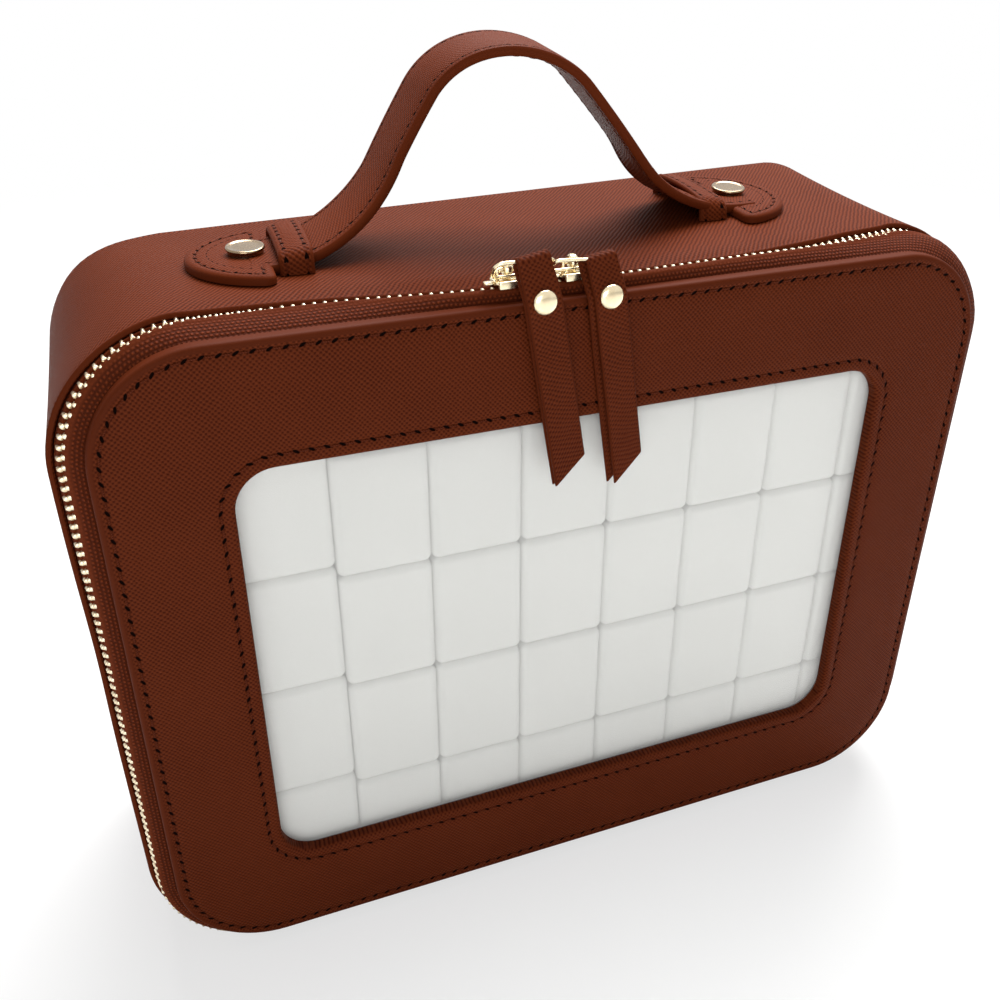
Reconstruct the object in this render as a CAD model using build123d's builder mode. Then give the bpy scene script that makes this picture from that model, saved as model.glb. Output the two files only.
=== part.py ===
from build123d import *

import math
import os

# Mahjong case: a stiff zip-around case in leather cloth, with a window in its lid, a full set of
# tiles inside, a strap handle on top, and two zip sliders with rings and leather pulls.
#
# Millimetres. +X is to the right as one faces the window, +Y runs from the window to the back,
# +Z is up. The case stands on its long edge, and the origin is under the middle of its box.

# ---- driving dimensions ------------------------------------------------------------------------

# Tiles set every inner size: nine across, four high, four deep.
TILE_W, TILE_H, TILE_D = 22.0, 30.3, 16.1
COLUMNS, ROWS, LAYERS = 9, 4, 4
TILE_PLAY, TILE_ROUND = 0.1, 1.8
TILES_LEFT, TILES_BOTTOM, TILES_FRONT = -101.8, 11.4, 4.8
END_COLUMN_LIFT = 3.1

# The lid's panel, its window, and the shell behind them. Depths count back from the lid's face.
LID_W, LID_H, LID_R, LID_Z = 208.0, 158.0, 24.0, 4.0
WINDOW_W, WINDOW_H, WINDOW_R, WINDOW_Z = 156.0, 106.0, 9.0, 28.6
SHELL_W, SHELL_H, SHELL_R = 217.0, 165.6, 28.0
SHELL_FRONT, DEPTH = 8.2, 76.0
FACE_Y = -36.0

# Materials.
LEATHER, LID_BOARD_T = 1.2, 1.8
SHELL_LEATHER, SHELL_BOARD_T, LINING_T = 1.4, 1.3, 0.5
FILM_T, TAPE_T, GLUE = 0.4, 0.6, 0.05
BACK_ROUND = 3.0

# Zip: its tape runs under the shell's leather, and each row of teeth grips the tape's edge.
ZIP_INSET = 1.5
TOOTH_OUT, TOOTH_IN, TOOTH_RUN = 0.7, 1.3, 1.0
FRONT_TEETH, REAR_TEETH = 4.1, 6.1
ZIP_END_Z = 6.5
FLANGE, REAR_TAPE_END = 6.7, 15.0
STOP_H = 1.8

# Handle: a strap that leaves a keeper loop on each side and crosses in one arc.
HANDLE_X, HANDLE_Y = -4.0, 3.5
STRAP_W, STRAP_T = 22.0, 2.8
ARCH_RISE, ARCH_TOP_X, ARCH_TOP_R, ARCH_FOOT_R = 39.7, -1.2, 21.5, 14.6
ARCH_SLOPE = {"left": 56.8, "right": 49.9}
HANDLE_GAP = 0.4
TAB_W, TAB_START, TAB_END = 36.0, 57.0, 73.0
LOOP_START, LOOP_LENGTH, LOOP_WALL = 47.4, 8.4, 1.6
STUD_X, STUD_HEAD_R, STUD_HEAD_T = 60.5, 4.15, 0.8
STUD_NECK_R, STUD_NECK_T, STUD_SHANK_R = 3.8, 1.2, 1.5
WASHER_R, WASHER_T = 4.5, 1.0

# Sliders, their rings and the leather pulls.
SLIDER_X = {"left": -15.0, "right": -0.4}
PULL_TILT = {"left": 9.7, "right": 8.9}
PULL_SHIFT = {"left": 1.2, "right": 1.7}
SLIDER_L, SLIDER_FRONT, SLIDER_BACK, PLATE_T = 10.6, 3.0, 7.9, 1.0
WEDGE_L, WEDGE_T = 4.0, 0.4
CROWN_HALF, CROWN_R, CROWN_LIFT = 4.1, 0.5, 1.95
RING_W, RING_WIRE_R, RING_CORNER = 13.4, 0.5, 1.4
EYE_R, EYE_WIRE_R = 1.25, 0.42
RING_LOW, RING_HIGH = (4.3, 0.75), {"left": (1.2, 4.4), "right": (1.4, 3.0)}
PULL_W, PULL_T, PULL_BORE_R = 7.2, 2.0, 1.1
PULL_DROP, PULL_BEND = {"left": 51.3, "right": 49.9}, {"left": 7.7, "right": 7.0}
PULL_SLANT = 6.2
RIVET_R, RIVET_SHANK_R = 2.65, 0.9

# ---- worked-out places -------------------------------------------------------------------------

TOP = SHELL_H
LID_T = LEATHER + LID_BOARD_T
LINING_INSET = SHELL_LEATHER + SHELL_BOARD_T + 0.1
INNER_INSET = LINING_INSET + LINING_T
LINING_BACK = DEPTH - SHELL_LEATHER - SHELL_BOARD_T - 0.1
CEILING_Z = TOP - INNER_INSET

LID = (LID_W, LID_H, LID_R, LID_Z + LID_H / 2)
WINDOW = (WINDOW_W, WINDOW_H, WINDOW_R, WINDOW_Z + WINDOW_H / 2)
SHELL = (SHELL_W, SHELL_H, SHELL_R, SHELL_H / 2)

parts = {}


def inset(outline, distance):
    """The outline (width, height, radius, middle height), moved inwards all round."""
    width, height, radius, middle = outline
    return (width - 2 * distance, height - 2 * distance, radius - distance, middle)


def facing(depth):
    """A sketching plane that faces forward, at a depth behind the lid's face: +X right, +Z up."""
    return Plane(origin=(0, FACE_Y + depth, 0), x_dir=(1, 0, 0), z_dir=(0, -1, 0))


def slab(start, end, *outlines, mode=Mode.ADD):
    """Add what lies between two depths, inside the first outline and outside the others."""
    with BuildSketch(facing(start)) as sketch:
        for index, (width, height, radius, middle) in enumerate(outlines):
            with Locations((0, middle)):
                RectangleRounded(width, height, radius, mode=Mode.SUBTRACT if index else Mode.ADD)
    extrude(sketch.sketch, amount=-(end - start), mode=mode)


def keep_between(low, high):
    """Keep only what lies between two heights."""
    with Locations((0, 0, (low + high) / 2)):
        Box(400, 400, high - low, mode=Mode.INTERSECT)


def drill_for_studs(low, high):
    """Cut the two stud holes through whatever lies between two heights."""
    with BuildSketch(Plane.XY.offset(low)) as sketch:
        with Locations((HANDLE_X - STUD_X, HANDLE_Y), (HANDLE_X + STUD_X, HANDLE_Y)):
            Circle(STUD_SHANK_R + 0.1)
    extrude(sketch.sketch, amount=high - low, mode=Mode.SUBTRACT)


def finish(label, builder):
    """Label a finished piece and keep it for export."""
    builder.part.label = label
    parts[label] = builder.part


ZIP = inset(SHELL, ZIP_INSET)
TEETH = (inset(ZIP, -TOOTH_OUT), inset(ZIP, TOOTH_IN))
TAPE = (ZIP, inset(ZIP, TAPE_T))
LID_BOARD = inset(LID, LEATHER)
BOARD_HOLE = inset(WINDOW, -LEATHER)

# ---- lid ---------------------------------------------------------------------------------------

with BuildPart() as lid_board:
    slab(LEATHER, LID_T, LID_BOARD, BOARD_HOLE)
finish("lid_board", lid_board)

# The leather wraps the board's edges, inside the window as well as outside.
with BuildPart() as lid_leather:
    slab(0, LID_T, LID, WINDOW)
    fillet(lid_leather.faces().sort_by(Axis.Y)[0].edges(), LEATHER - 0.1)
    add(lid_board.part, mode=Mode.SUBTRACT)
finish("lid_leather", lid_leather)

FILM_START = LID_T + GLUE
with BuildPart() as window_film:
    slab(FILM_START, FILM_START + FILM_T, inset(WINDOW, -7.0))
finish("window_film", window_film)

LID_LINING_START = FILM_START + TAPE_T + GLUE
with BuildPart() as lid_lining:
    slab(LID_LINING_START, LID_LINING_START + LINING_T, inset(LID, 1.0), inset(WINDOW, -1.0))
finish("lid_lining", lid_lining)

# The front tape is glued under the panel's edge and turns back to its row of teeth.
with BuildPart() as front_zip_tape:
    slab(FILM_START, FILM_START + TAPE_T, ZIP, inset(ZIP, FLANGE))
    slab(FILM_START + TAPE_T, FRONT_TEETH, *TAPE)
    keep_between(ZIP_END_Z, 300)
finish("front_zip_tape", front_zip_tape)

with BuildPart() as front_teeth:
    slab(FRONT_TEETH, FRONT_TEETH + TOOTH_RUN, *TEETH)
    keep_between(ZIP_END_Z, 300)
finish("front_teeth", front_teeth)

with BuildPart() as front_end_stops:
    slab(FRONT_TEETH, FRONT_TEETH + TOOTH_RUN, *TEETH)
    keep_between(ZIP_END_Z - 0.1 - STOP_H, ZIP_END_Z - 0.1)
finish("front_end_stops", front_end_stops)

# ---- shell -------------------------------------------------------------------------------------

with BuildPart() as gusset_leather:
    slab(SHELL_FRONT, DEPTH - 4, SHELL, inset(SHELL, SHELL_LEATHER))
    fillet(gusset_leather.faces().sort_by(Axis.Y)[0].outer_wire().edges(), 1.0)
    drill_for_studs(TOP - 3, TOP + 1)
finish("gusset_leather", gusset_leather)

with BuildPart() as back_leather:
    slab(DEPTH - 4, DEPTH, SHELL)
    fillet(back_leather.faces().sort_by(Axis.Y)[-1].edges(), BACK_ROUND)
    slab(DEPTH - 5, DEPTH - SHELL_LEATHER, inset(SHELL, SHELL_LEATHER), mode=Mode.SUBTRACT)
finish("back_leather", back_leather)

BOARD_OUTLINE = inset(SHELL, SHELL_LEATHER)
BACK_BOARD_START = DEPTH - SHELL_LEATHER - SHELL_BOARD_T
with BuildPart() as gusset_board:
    slab(REAR_TAPE_END + 0.3, BACK_BOARD_START, BOARD_OUTLINE, inset(BOARD_OUTLINE, SHELL_BOARD_T))
    drill_for_studs(TOP - 5, TOP)
finish("gusset_board", gusset_board)

with BuildPart() as back_board:
    slab(BACK_BOARD_START, DEPTH - SHELL_LEATHER, inset(BOARD_OUTLINE, 0.8))
finish("back_board", back_board)

with BuildPart() as shell_lining:
    slab(SHELL_FRONT + 0.3, LINING_BACK, inset(SHELL, LINING_INSET))
    slab(0, LINING_BACK - LINING_T, inset(SHELL, INNER_INSET), mode=Mode.SUBTRACT)
    drill_for_studs(TOP - 6, TOP - 2)
finish("shell_lining", shell_lining)

with BuildPart() as rear_zip_tape:
    slab(REAR_TEETH + TOOTH_RUN, REAR_TAPE_END, *TAPE)
    keep_between(ZIP_END_Z, 300)
finish("rear_zip_tape", rear_zip_tape)

with BuildPart() as rear_teeth:
    slab(REAR_TEETH, REAR_TEETH + TOOTH_RUN, *TEETH)
    keep_between(ZIP_END_Z, 300)
finish("rear_teeth", rear_teeth)

with BuildPart() as rear_end_stops:
    slab(REAR_TEETH, REAR_TEETH + TOOTH_RUN, *TEETH)
    keep_between(ZIP_END_Z - 0.1 - STOP_H, ZIP_END_Z - 0.1)
finish("rear_end_stops", rear_end_stops)

# The hinge is a strip of leather along the bottom, glued inside the shell's front edge.
HINGE_W, HINGE_FRONT, HINGE_END, HINGE_T = 156.0, 4.4, 14.5, 0.8
with BuildPart() as hinge_strip:
    with Locations((0, FACE_Y + (HINGE_FRONT + HINGE_END) / 2, SHELL_LEATHER + GLUE + HINGE_T / 2)):
        Box(HINGE_W, HINGE_END - HINGE_FRONT, HINGE_T)
finish("hinge_strip", hinge_strip)

# ---- contents ----------------------------------------------------------------------------------

# The foam pad fills the floor up to the tiles, and is thicker under the column in the left corner.
PAD_FRONT, PAD_BACK = SHELL_FRONT + 0.5, LINING_BACK - LINING_T - 0.2
with BuildPart() as floor_pad:
    slab(PAD_FRONT, PAD_BACK, inset(SHELL, INNER_INSET + 0.1))
    keep_between(0, TILES_BOTTOM + END_COLUMN_LIFT - 0.1)
    with Locations((TILES_LEFT + 2 * TILE_W - GLUE + 200, 0, TILES_BOTTOM - 0.1 + 50)):
        Box(400, 400, 100, mode=Mode.SUBTRACT)
finish("floor_pad", floor_pad)

with BuildPart() as one_tile:
    Box(TILE_W - TILE_PLAY, TILE_D - TILE_PLAY, TILE_H - TILE_PLAY)
    fillet(one_tile.edges(), TILE_ROUND)

for layer in range(LAYERS):
    places = []
    for column in range(COLUMNS):
        for row in range(ROWS):
            x = TILES_LEFT + (column + 0.5) * TILE_W
            y = FACE_Y + TILES_FRONT + (layer + 0.5) * TILE_D
            z = TILES_BOTTOM + (row + 0.5) * TILE_H
            places.append((x, y, z if column > 1 else z + END_COLUMN_LIFT))
    with BuildPart() as tile_layer:
        with Locations(*places):
            add(one_tile.part)
    finish(f"tile_layer_{layer + 1}", tile_layer)

# ---- handle ------------------------------------------------------------------------------------

STRAP_Z = TOP + STRAP_T / 2


def leg(side, word):
    """One half of the arch: where it leaves level, leaves its foot's arc and meets the top's arc."""
    slope = math.radians(ARCH_SLOPE[word])
    foot_run, foot_rise = ARCH_FOOT_R * math.sin(slope), ARCH_FOOT_R * (1 - math.cos(slope))
    crown_run, crown_drop = ARCH_TOP_R * math.sin(slope), ARCH_TOP_R * (1 - math.cos(slope))
    leg_run = (ARCH_RISE - foot_rise - crown_drop) / math.tan(slope)
    crown_x = ARCH_TOP_X + side * crown_run
    foot_x = crown_x + side * leg_run
    return (foot_x + side * foot_run, 0), (foot_x, foot_rise), (crown_x, ARCH_RISE - crown_drop)


# The strap's middle line: along the left tab, up, over and down again, along the right tab.
# The strap is cut from it beside each loop: the arch swings, and the ends stay on the tabs.
left_exit, left_knee, left_crown = leg(-1, "left")
right_exit, right_knee, right_crown = leg(1, "right")
SPLIT_LEFT, SPLIT_RIGHT = left_knee[0] + 1.0, right_knee[0] - 2.0
handle_plane = Plane(origin=(HANDLE_X, HANDLE_Y, STRAP_Z), x_dir=(1, 0, 0), z_dir=(0, -1, 0))
with BuildPart() as whole_strap:
    with BuildSketch(handle_plane):
        with BuildLine() as middle_line:
            left_end = Line((-TAB_START - 1, 0), left_exit)
            left_foot = TangentArc(left_exit, left_knee, tangent=(1, 0))
            left_leg = Line(left_knee, left_crown)
            crown = TangentArc(left_crown, right_crown, tangent=left_leg % 1)
            right_leg = Line(right_crown, right_knee)
            right_foot = TangentArc(right_knee, right_exit, tangent=right_leg % 1)
            Line(right_exit, (TAB_START + 1, 0))
            offset(amount=STRAP_T / 2, side=Side.BOTH, kind=Kind.INTERSECTION)
        make_face()
    extrude(amount=STRAP_W / 2, both=True)

with BuildPart() as handle_strap:
    add(whole_strap.part)
    with Locations((HANDLE_X + (SPLIT_LEFT + SPLIT_RIGHT) / 2, HANDLE_Y, TOP + ARCH_RISE)):
        Box(SPLIT_RIGHT - SPLIT_LEFT, 50, 2 * ARCH_RISE, mode=Mode.INTERSECT)
finish("handle_strap", handle_strap)

with BuildPart() as strap_ends:
    add(whole_strap.part)
    with Locations((HANDLE_X + (SPLIT_LEFT + SPLIT_RIGHT) / 2, HANDLE_Y, TOP + ARCH_RISE)):
        Box(SPLIT_RIGHT - SPLIT_LEFT + 2 * HANDLE_GAP, 50, 3 * ARCH_RISE, mode=Mode.SUBTRACT)

for side, word in ((-1, "left"), (1, "right")):
    # The tab is D-shaped, with the strap's end sewn into it, and the loop holds the strap down.
    with BuildPart() as handle_tab:
        with BuildSketch(Plane.XY.offset(TOP)):
            with Locations((HANDLE_X + side * (TAB_END - TAB_W / 2), HANDLE_Y)):
                Circle(TAB_W / 2)
            with Locations((HANDLE_X + side * (TAB_START + TAB_W), HANDLE_Y)):
                Rectangle(2 * TAB_W, 2 * TAB_W, mode=Mode.INTERSECT)
            fillet(vertices(), 2.0)
        extrude(amount=STRAP_T)
        fillet(handle_tab.faces().sort_by(Axis.Z)[-1].edges(), 0.8)
        add(strap_ends.part.solids().sort_by(Axis.X)[0 if side < 0 else -1])
        drill_for_studs(TOP - 1, TOP + STRAP_T + 1)
    finish(f"handle_tab_{word}", handle_tab)

    room_w, room_h = STRAP_W + 0.6, STRAP_T + 0.3
    with BuildPart() as keeper_loop:
        with BuildSketch(Plane.YZ.offset(HANDLE_X + side * (LOOP_START + LOOP_LENGTH / 2))):
            with Locations((HANDLE_Y, TOP + (room_h + LOOP_WALL) / 2)):
                Rectangle(room_w + 2 * LOOP_WALL, room_h + LOOP_WALL)
            with Locations((HANDLE_Y, TOP + room_h / 2)):
                Rectangle(room_w, room_h, mode=Mode.SUBTRACT)
        extrude(amount=LOOP_LENGTH / 2, both=True)
        top_face = keeper_loop.faces().sort_by(Axis.Z)[-1]
        fillet(top_face.edges().filter_by(Axis.X), LOOP_WALL - 0.1)
    finish(f"keeper_loop_{word}", keeper_loop)

    stud_x = HANDLE_X + side * STUD_X
    tab_z = TOP + STRAP_T
    neck_z = tab_z + STUD_NECK_T
    foot_z = CEILING_Z - WASHER_T
    with BuildPart() as stud:
        with Locations((stud_x, HANDLE_Y, (foot_z + neck_z) / 2)):
            Cylinder(STUD_SHANK_R, neck_z - foot_z)
        with Locations((stud_x, HANDLE_Y, (tab_z + neck_z) / 2)):
            Cylinder(STUD_NECK_R, STUD_NECK_T)
        with Locations((stud_x, HANDLE_Y, neck_z + STUD_HEAD_T / 2)):
            Cylinder(STUD_HEAD_R, STUD_HEAD_T)
        fillet(stud.faces().sort_by(Axis.Z)[-1].edges(), 0.3)
    finish(f"stud_{word}", stud)

    with BuildPart() as stud_washer:
        with Locations((stud_x, HANDLE_Y, CEILING_Z - GLUE - WASHER_T / 2)):
            Cylinder(WASHER_R, WASHER_T)
            Cylinder(STUD_SHANK_R + GLUE, WASHER_T, mode=Mode.SUBTRACT)
    finish(f"stud_washer_{word}", stud_washer)

# ---- sliders, rings and pulls ------------------------------------------------------------------

ZIP_TOP = TOP - ZIP_INSET
PLATE_Z = ZIP_TOP + TOOTH_OUT + 0.3
UNDER_Z = ZIP_TOP - TOOTH_IN - 0.3
ROW_GAP_Y = FACE_Y + (FRONT_TEETH + TOOTH_RUN + REAR_TEETH) / 2
CROWN_Z = PLATE_Z + PLATE_T + CROWN_LIFT
PLATE_TOP = PLATE_Z + PLATE_T

for word, slider_x in SLIDER_X.items():
    bar_y, bar_z = FACE_Y + RING_HIGH[word][0], PLATE_TOP + RING_HIGH[word][1]

    # Two plates, one above the teeth and one below, held by a wedge that parts the rows.
    with BuildPart() as slider:
        with BuildSketch(Plane.XY.offset(PLATE_Z)):
            with Locations((slider_x, FACE_Y + (SLIDER_FRONT + SLIDER_BACK) / 2)):
                RectangleRounded(SLIDER_L, SLIDER_BACK - SLIDER_FRONT, 1.6)
        extrude(amount=PLATE_T)
        fillet(slider.faces().sort_by(Axis.Z)[-1].edges(), 0.4)
        with Locations((slider_x, FACE_Y + SLIDER_FRONT + 0.35, PLATE_Z - 0.1)):
            Box(SLIDER_L - 3.4, 0.6, 1.2)
        with Locations((slider_x, ROW_GAP_Y, (PLATE_Z + UNDER_Z) / 2)):
            Box(WEDGE_L, WEDGE_T, PLATE_Z - UNDER_Z + 0.4)
        with BuildSketch(Plane.XY.offset(UNDER_Z - PLATE_T)):
            with Locations((slider_x, FACE_Y + 6.2)):
                RectangleRounded(SLIDER_L, 3.4, 1.2)
        extrude(amount=PLATE_T)
        for end in (-1, 1):
            with Locations((slider_x + end * CROWN_HALF, ROW_GAP_Y, CROWN_Z - CROWN_LIFT / 2 - 0.1)):
                Box(0.9, 1.4, CROWN_LIFT + 0.2)
        with BuildSketch(Plane.YZ.offset(slider_x)):
            with Locations((ROW_GAP_Y, CROWN_Z)):
                Circle(CROWN_R)
        extrude(amount=CROWN_HALF + 0.45, both=True)
    finish(f"slider_{word}", slider)

    # The ring leans forward, and the eye at its low side turns on the slider's crown.
    low = Vector(slider_x, FACE_Y + RING_LOW[0], PLATE_TOP + RING_LOW[1])
    high = Vector(slider_x, bar_y, bar_z)
    up = (high - low).normalized()
    across = Vector(1, 0, 0)
    ring_plane = Plane(origin=(low + high) / 2, x_dir=across, z_dir=across.cross(up))
    with BuildPart() as ring:
        with BuildLine(ring_plane) as ring_line:
            half_w, half_h = RING_W / 2 - RING_WIRE_R, (high - low).length / 2
            corners = [(half_w, -half_h), (half_w, half_h), (-half_w, half_h), (-half_w, -half_h)]
            FilletPolyline(*corners, radius=RING_CORNER, close=True)
        path = ring_line.wires()[0]
        with BuildSketch(Plane(origin=path @ 0, z_dir=path % 0)):
            Circle(RING_WIRE_R)
        sweep(path=path)
        with Locations(Plane(origin=(slider_x, ROW_GAP_Y, CROWN_Z), z_dir=across)):
            Torus(EYE_R, EYE_WIRE_R)
    finish(f"ring_{word}", ring)

    # The pull is a strap folded round the ring's high side, its two layers riveted together.
    pull_x = slider_x + PULL_SHIFT[word]
    bend_z, tip_z = bar_z - PULL_BEND[word], bar_z - PULL_DROP[word]
    bend_y, tip_y = FACE_Y - 1.6, FACE_Y - 1.5
    fold_r = PULL_BORE_R + PULL_T / 2 - 0.1
    hang = Axis((pull_x, bar_y, bar_z), (0, 1, 0))
    with BuildPart() as pull_strap:
        with BuildSketch(Plane.YZ.offset(pull_x)):
            with BuildLine():
                Polyline(
                    (bar_y - fold_r, bar_z),
                    (bend_y - PULL_T / 2, bend_z),
                    (tip_y - PULL_T / 2, tip_z),
                    (tip_y + PULL_T / 2, tip_z),
                    (bend_y + PULL_T / 2, bend_z),
                    (bar_y + fold_r, bar_z),
                )
                ThreePointArc((bar_y + fold_r, bar_z), (bar_y, bar_z + fold_r), (bar_y - fold_r, bar_z))
            make_face()
            with BuildLine():
                meet = (bar_y + (bend_y - bar_y) * 0.7, bar_z - 0.7 * PULL_BEND[word])
                Polyline((bar_y - PULL_BORE_R, bar_z), meet, (bar_y + PULL_BORE_R, bar_z))
                ThreePointArc(
                    (bar_y + PULL_BORE_R, bar_z),
                    (bar_y, bar_z + PULL_BORE_R),
                    (bar_y - PULL_BORE_R, bar_z),
                )
            make_face(mode=Mode.SUBTRACT)
        extrude(amount=PULL_W / 2, both=True)
        with BuildSketch(facing(-10)):
            with BuildLine():
                Polyline(
                    (pull_x - PULL_W / 2 - 1, tip_z - 1),
                    (pull_x - PULL_W / 2, tip_z),
                    (pull_x + PULL_W / 2, tip_z + PULL_SLANT),
                    (pull_x + PULL_W / 2 + 1, tip_z + PULL_SLANT),
                    (pull_x + PULL_W / 2 + 1, tip_z - 1),
                    close=True,
                )
            make_face()
        extrude(amount=-20, mode=Mode.SUBTRACT)
        with Locations(Plane(origin=(pull_x, bend_y, bend_z), z_dir=(0, -1, 0))):
            Cylinder(RIVET_SHANK_R + 0.05, 6, mode=Mode.SUBTRACT)
    pull_strap.part = pull_strap.part.rotate(hang, -PULL_TILT[word])
    finish(f"pull_strap_{word}", pull_strap)

    with BuildPart() as pull_rivet:
        with BuildSketch(Plane(origin=(pull_x, bend_y - PULL_T / 2, bend_z), z_dir=(0, -1, 0))):
            Circle(RIVET_R)
        extrude(amount=1.0)
        fillet(pull_rivet.faces().sort_by(Axis.Y)[0].edges(), 0.8)
        with BuildSketch(Plane(origin=(pull_x, bend_y + PULL_T / 2 + 0.3, bend_z), z_dir=(0, -1, 0))):
            Circle(RIVET_SHANK_R)
        extrude(amount=PULL_T + 0.5)
    pull_rivet.part = pull_rivet.part.rotate(hang, -PULL_TILT[word])
    finish(f"pull_rivet_{word}", pull_rivet)

# ---- export ------------------------------------------------------------------------------------

os.makedirs("parts", exist_ok=True)
for label, part in parts.items():
    export_step(part, f"parts/{label}.step")
print(len(parts), "nodes")
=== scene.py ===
# %% [markdown]
# # A zip-around case for a mahjong set
#
# The case is a stiff box of board, covered with leather cloth that is embossed with a fine diagonal
# cross-hatch. A clear window in the lid shows the tiles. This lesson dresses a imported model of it:
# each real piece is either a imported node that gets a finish, or a new surface worked out with numpy.

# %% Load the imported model
import math

import bpy
import numpy as np
from mathutils import Matrix


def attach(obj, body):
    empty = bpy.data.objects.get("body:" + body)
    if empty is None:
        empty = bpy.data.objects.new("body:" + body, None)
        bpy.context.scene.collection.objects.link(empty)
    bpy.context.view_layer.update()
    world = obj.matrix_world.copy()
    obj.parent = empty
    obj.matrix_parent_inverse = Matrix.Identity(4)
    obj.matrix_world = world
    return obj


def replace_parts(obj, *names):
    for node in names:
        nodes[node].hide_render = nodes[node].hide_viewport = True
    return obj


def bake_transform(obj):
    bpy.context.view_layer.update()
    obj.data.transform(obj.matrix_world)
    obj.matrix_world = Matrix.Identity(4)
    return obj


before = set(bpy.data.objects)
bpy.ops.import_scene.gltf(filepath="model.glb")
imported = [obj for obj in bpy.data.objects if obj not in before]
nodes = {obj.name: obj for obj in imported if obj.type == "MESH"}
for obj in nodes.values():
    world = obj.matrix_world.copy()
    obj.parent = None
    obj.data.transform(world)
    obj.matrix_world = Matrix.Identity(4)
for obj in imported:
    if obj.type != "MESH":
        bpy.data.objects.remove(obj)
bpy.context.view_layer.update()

# %% [markdown]
# ## Measures
#
# Everything below is in millimetres and is turned to metres when a mesh is made. A depth counts back
# from the lid's face, so the front of the case is at depth 0 and its back at 76. The three outlines are
# rounded rectangles: width, height, corner radius and the height of their middle.

# %% Measures in millimetres
MM = 0.001
FACE_Y, DEPTH, TOP = -36.0, 76.0, 165.6
LID = (208.0, 158.0, 24.0, 83.0)
WINDOW = (156.0, 106.0, 9.0, 81.6)
SHELL = (217.0, 165.6, 28.0, 82.8)
ZIP = (214.0, 162.6, 26.5, 82.8)
SIDES = {"left": -1, "right": 1}
print("case", SHELL[0], "x", DEPTH, "x", TOP, "mm")

# %% [markdown]
# ## Surfaces from grids
#
# Sewn goods are mostly strips and skins: a cross-section carried along a path. So one maker is enough:
# it takes a grid of points, station by station along the path, and joins neighbours with quads. A
# closed shape has a volume, and its sign tells if the faces point outwards, so the maker checks that
# itself and turns the faces round if they point in.

# %% Make a mesh from a grid of points
def corner_numbers(rows, columns, closed_path, caps):
    """The grid row and column of each face's corners. Quad (r, c) joins rows r and r + 1 at columns c
    and c + 1. The section is always closed, so its last column meets the first again."""
    r, c = np.meshgrid(np.arange(rows - (not closed_path)), np.arange(columns), indexing="ij")
    r, c = r.ravel(), c.ravel()
    faces = [np.stack([r, r, r + 1, r + 1], 1), np.stack([c, c + 1, c + 1, c], 1)]
    ends = np.arange(columns)
    lids = [(np.zeros_like(ends), ends[::-1]), (np.full_like(ends, rows - 1), ends)] if caps else []
    return faces, lids


def solid(name, grid, uvs=None, rim=None, closed_path=False, crease=38.0, *, finish):
    """A piece from points shaped (stations, section, 3) in mm, or (copies, stations, section, 3).
    uvs holds, for each UV map, u and v shaped (stations + closed, section + 1). rim is 1 where an edge
    is painted or folded, and edges sharper than the crease, in degrees, stay sharp."""
    grid = np.asarray(grid, float)
    grid = grid[None] if grid.ndim == 3 else grid
    copies, rows, columns, _ = grid.shape
    (r, c), lids = corner_numbers(rows, columns, closed_path, not closed_path)
    quads = (r % rows) * columns + c % columns
    flat = grid.reshape(copies, -1, 3)
    one = flat[0]
    corners = [one[quads[:, k]] for k in range(4)]
    volume = np.einsum("ij,ij->i", corners[0], np.cross(corners[1], corners[2])).sum()
    volume += np.einsum("ij,ij->i", corners[0], np.cross(corners[2], corners[3])).sum()
    for lid_r, lid_c in lids:
        ring = one[lid_r * columns + lid_c]
        volume += (np.cross(ring[1:-1], ring[2:]) @ ring[0]).sum()
    step = 1 if volume > 0 else -1
    shifts = np.arange(copies)[:, None, None] * rows * columns
    faces = (quads[None, :, ::step] + shifts).reshape(-1, 4).tolist()
    for lid_r, lid_c in lids:
        ring = (lid_r * columns + lid_c)[::step]
        faces += (ring[None] + shifts[:, 0]).tolist()
    mesh = bpy.data.meshes.new(name)
    mesh.from_pydata((flat.reshape(-1, 3) * MM).tolist(), [], faces)
    for map_name, (u, v) in (uvs or {}).items():
        u, v = (np.broadcast_to(a, (rows + closed_path, columns + 1)) for a in (u, v))
        spots = [np.stack([u[r, c], v[r, c]], 2)[:, ::step].reshape(-1, 2)] * copies
        for lid_r, lid_c in lids:
            spots += [np.stack([u[lid_r, lid_c], v[lid_r, lid_c]], 1)[::step]] * copies
        layer = mesh.uv_layers.new(name=map_name)
        layer.data.foreach_set("uv", np.concatenate(spots).astype(np.float32).ravel())
    if rim is not None:
        values = np.broadcast_to(rim, (rows, columns)).astype(np.float32).ravel()
        mesh.attributes.new("rim", "FLOAT", "POINT").data.foreach_set("value", np.tile(values, copies))
    mesh.shade_smooth()
    mesh.set_sharp_from_angle(angle=math.radians(crease))
    made = bpy.data.objects.new(name, mesh)
    bpy.context.scene.collection.objects.link(made)
    mesh.materials.append(finish)
    return made


def looped(values):
    """The values with the first one again at the end, as a closed row's UVs need."""
    return np.concatenate([values, values[:1]])


def stack(*parts):
    """Join x, y and z arrays into points."""
    return np.stack(np.broadcast_arrays(*parts), -1).astype(float)


print("surface maker ready")

# %% [markdown]
# ## Walking round a rounded rectangle
#
# The lid, the window, the zip and the shell are all rounded rectangles, and most pieces run round one
# of them. Ten knots mark where the straight sides and the corner arcs meet. Between knots the corner's
# centre and the outward angle change evenly, so a point is the centre plus the radius times the
# outward direction. Two outlines with different radii still match, knot by knot.

# %% Outlines with ten knots
KNOTS = np.arange(10)


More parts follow.
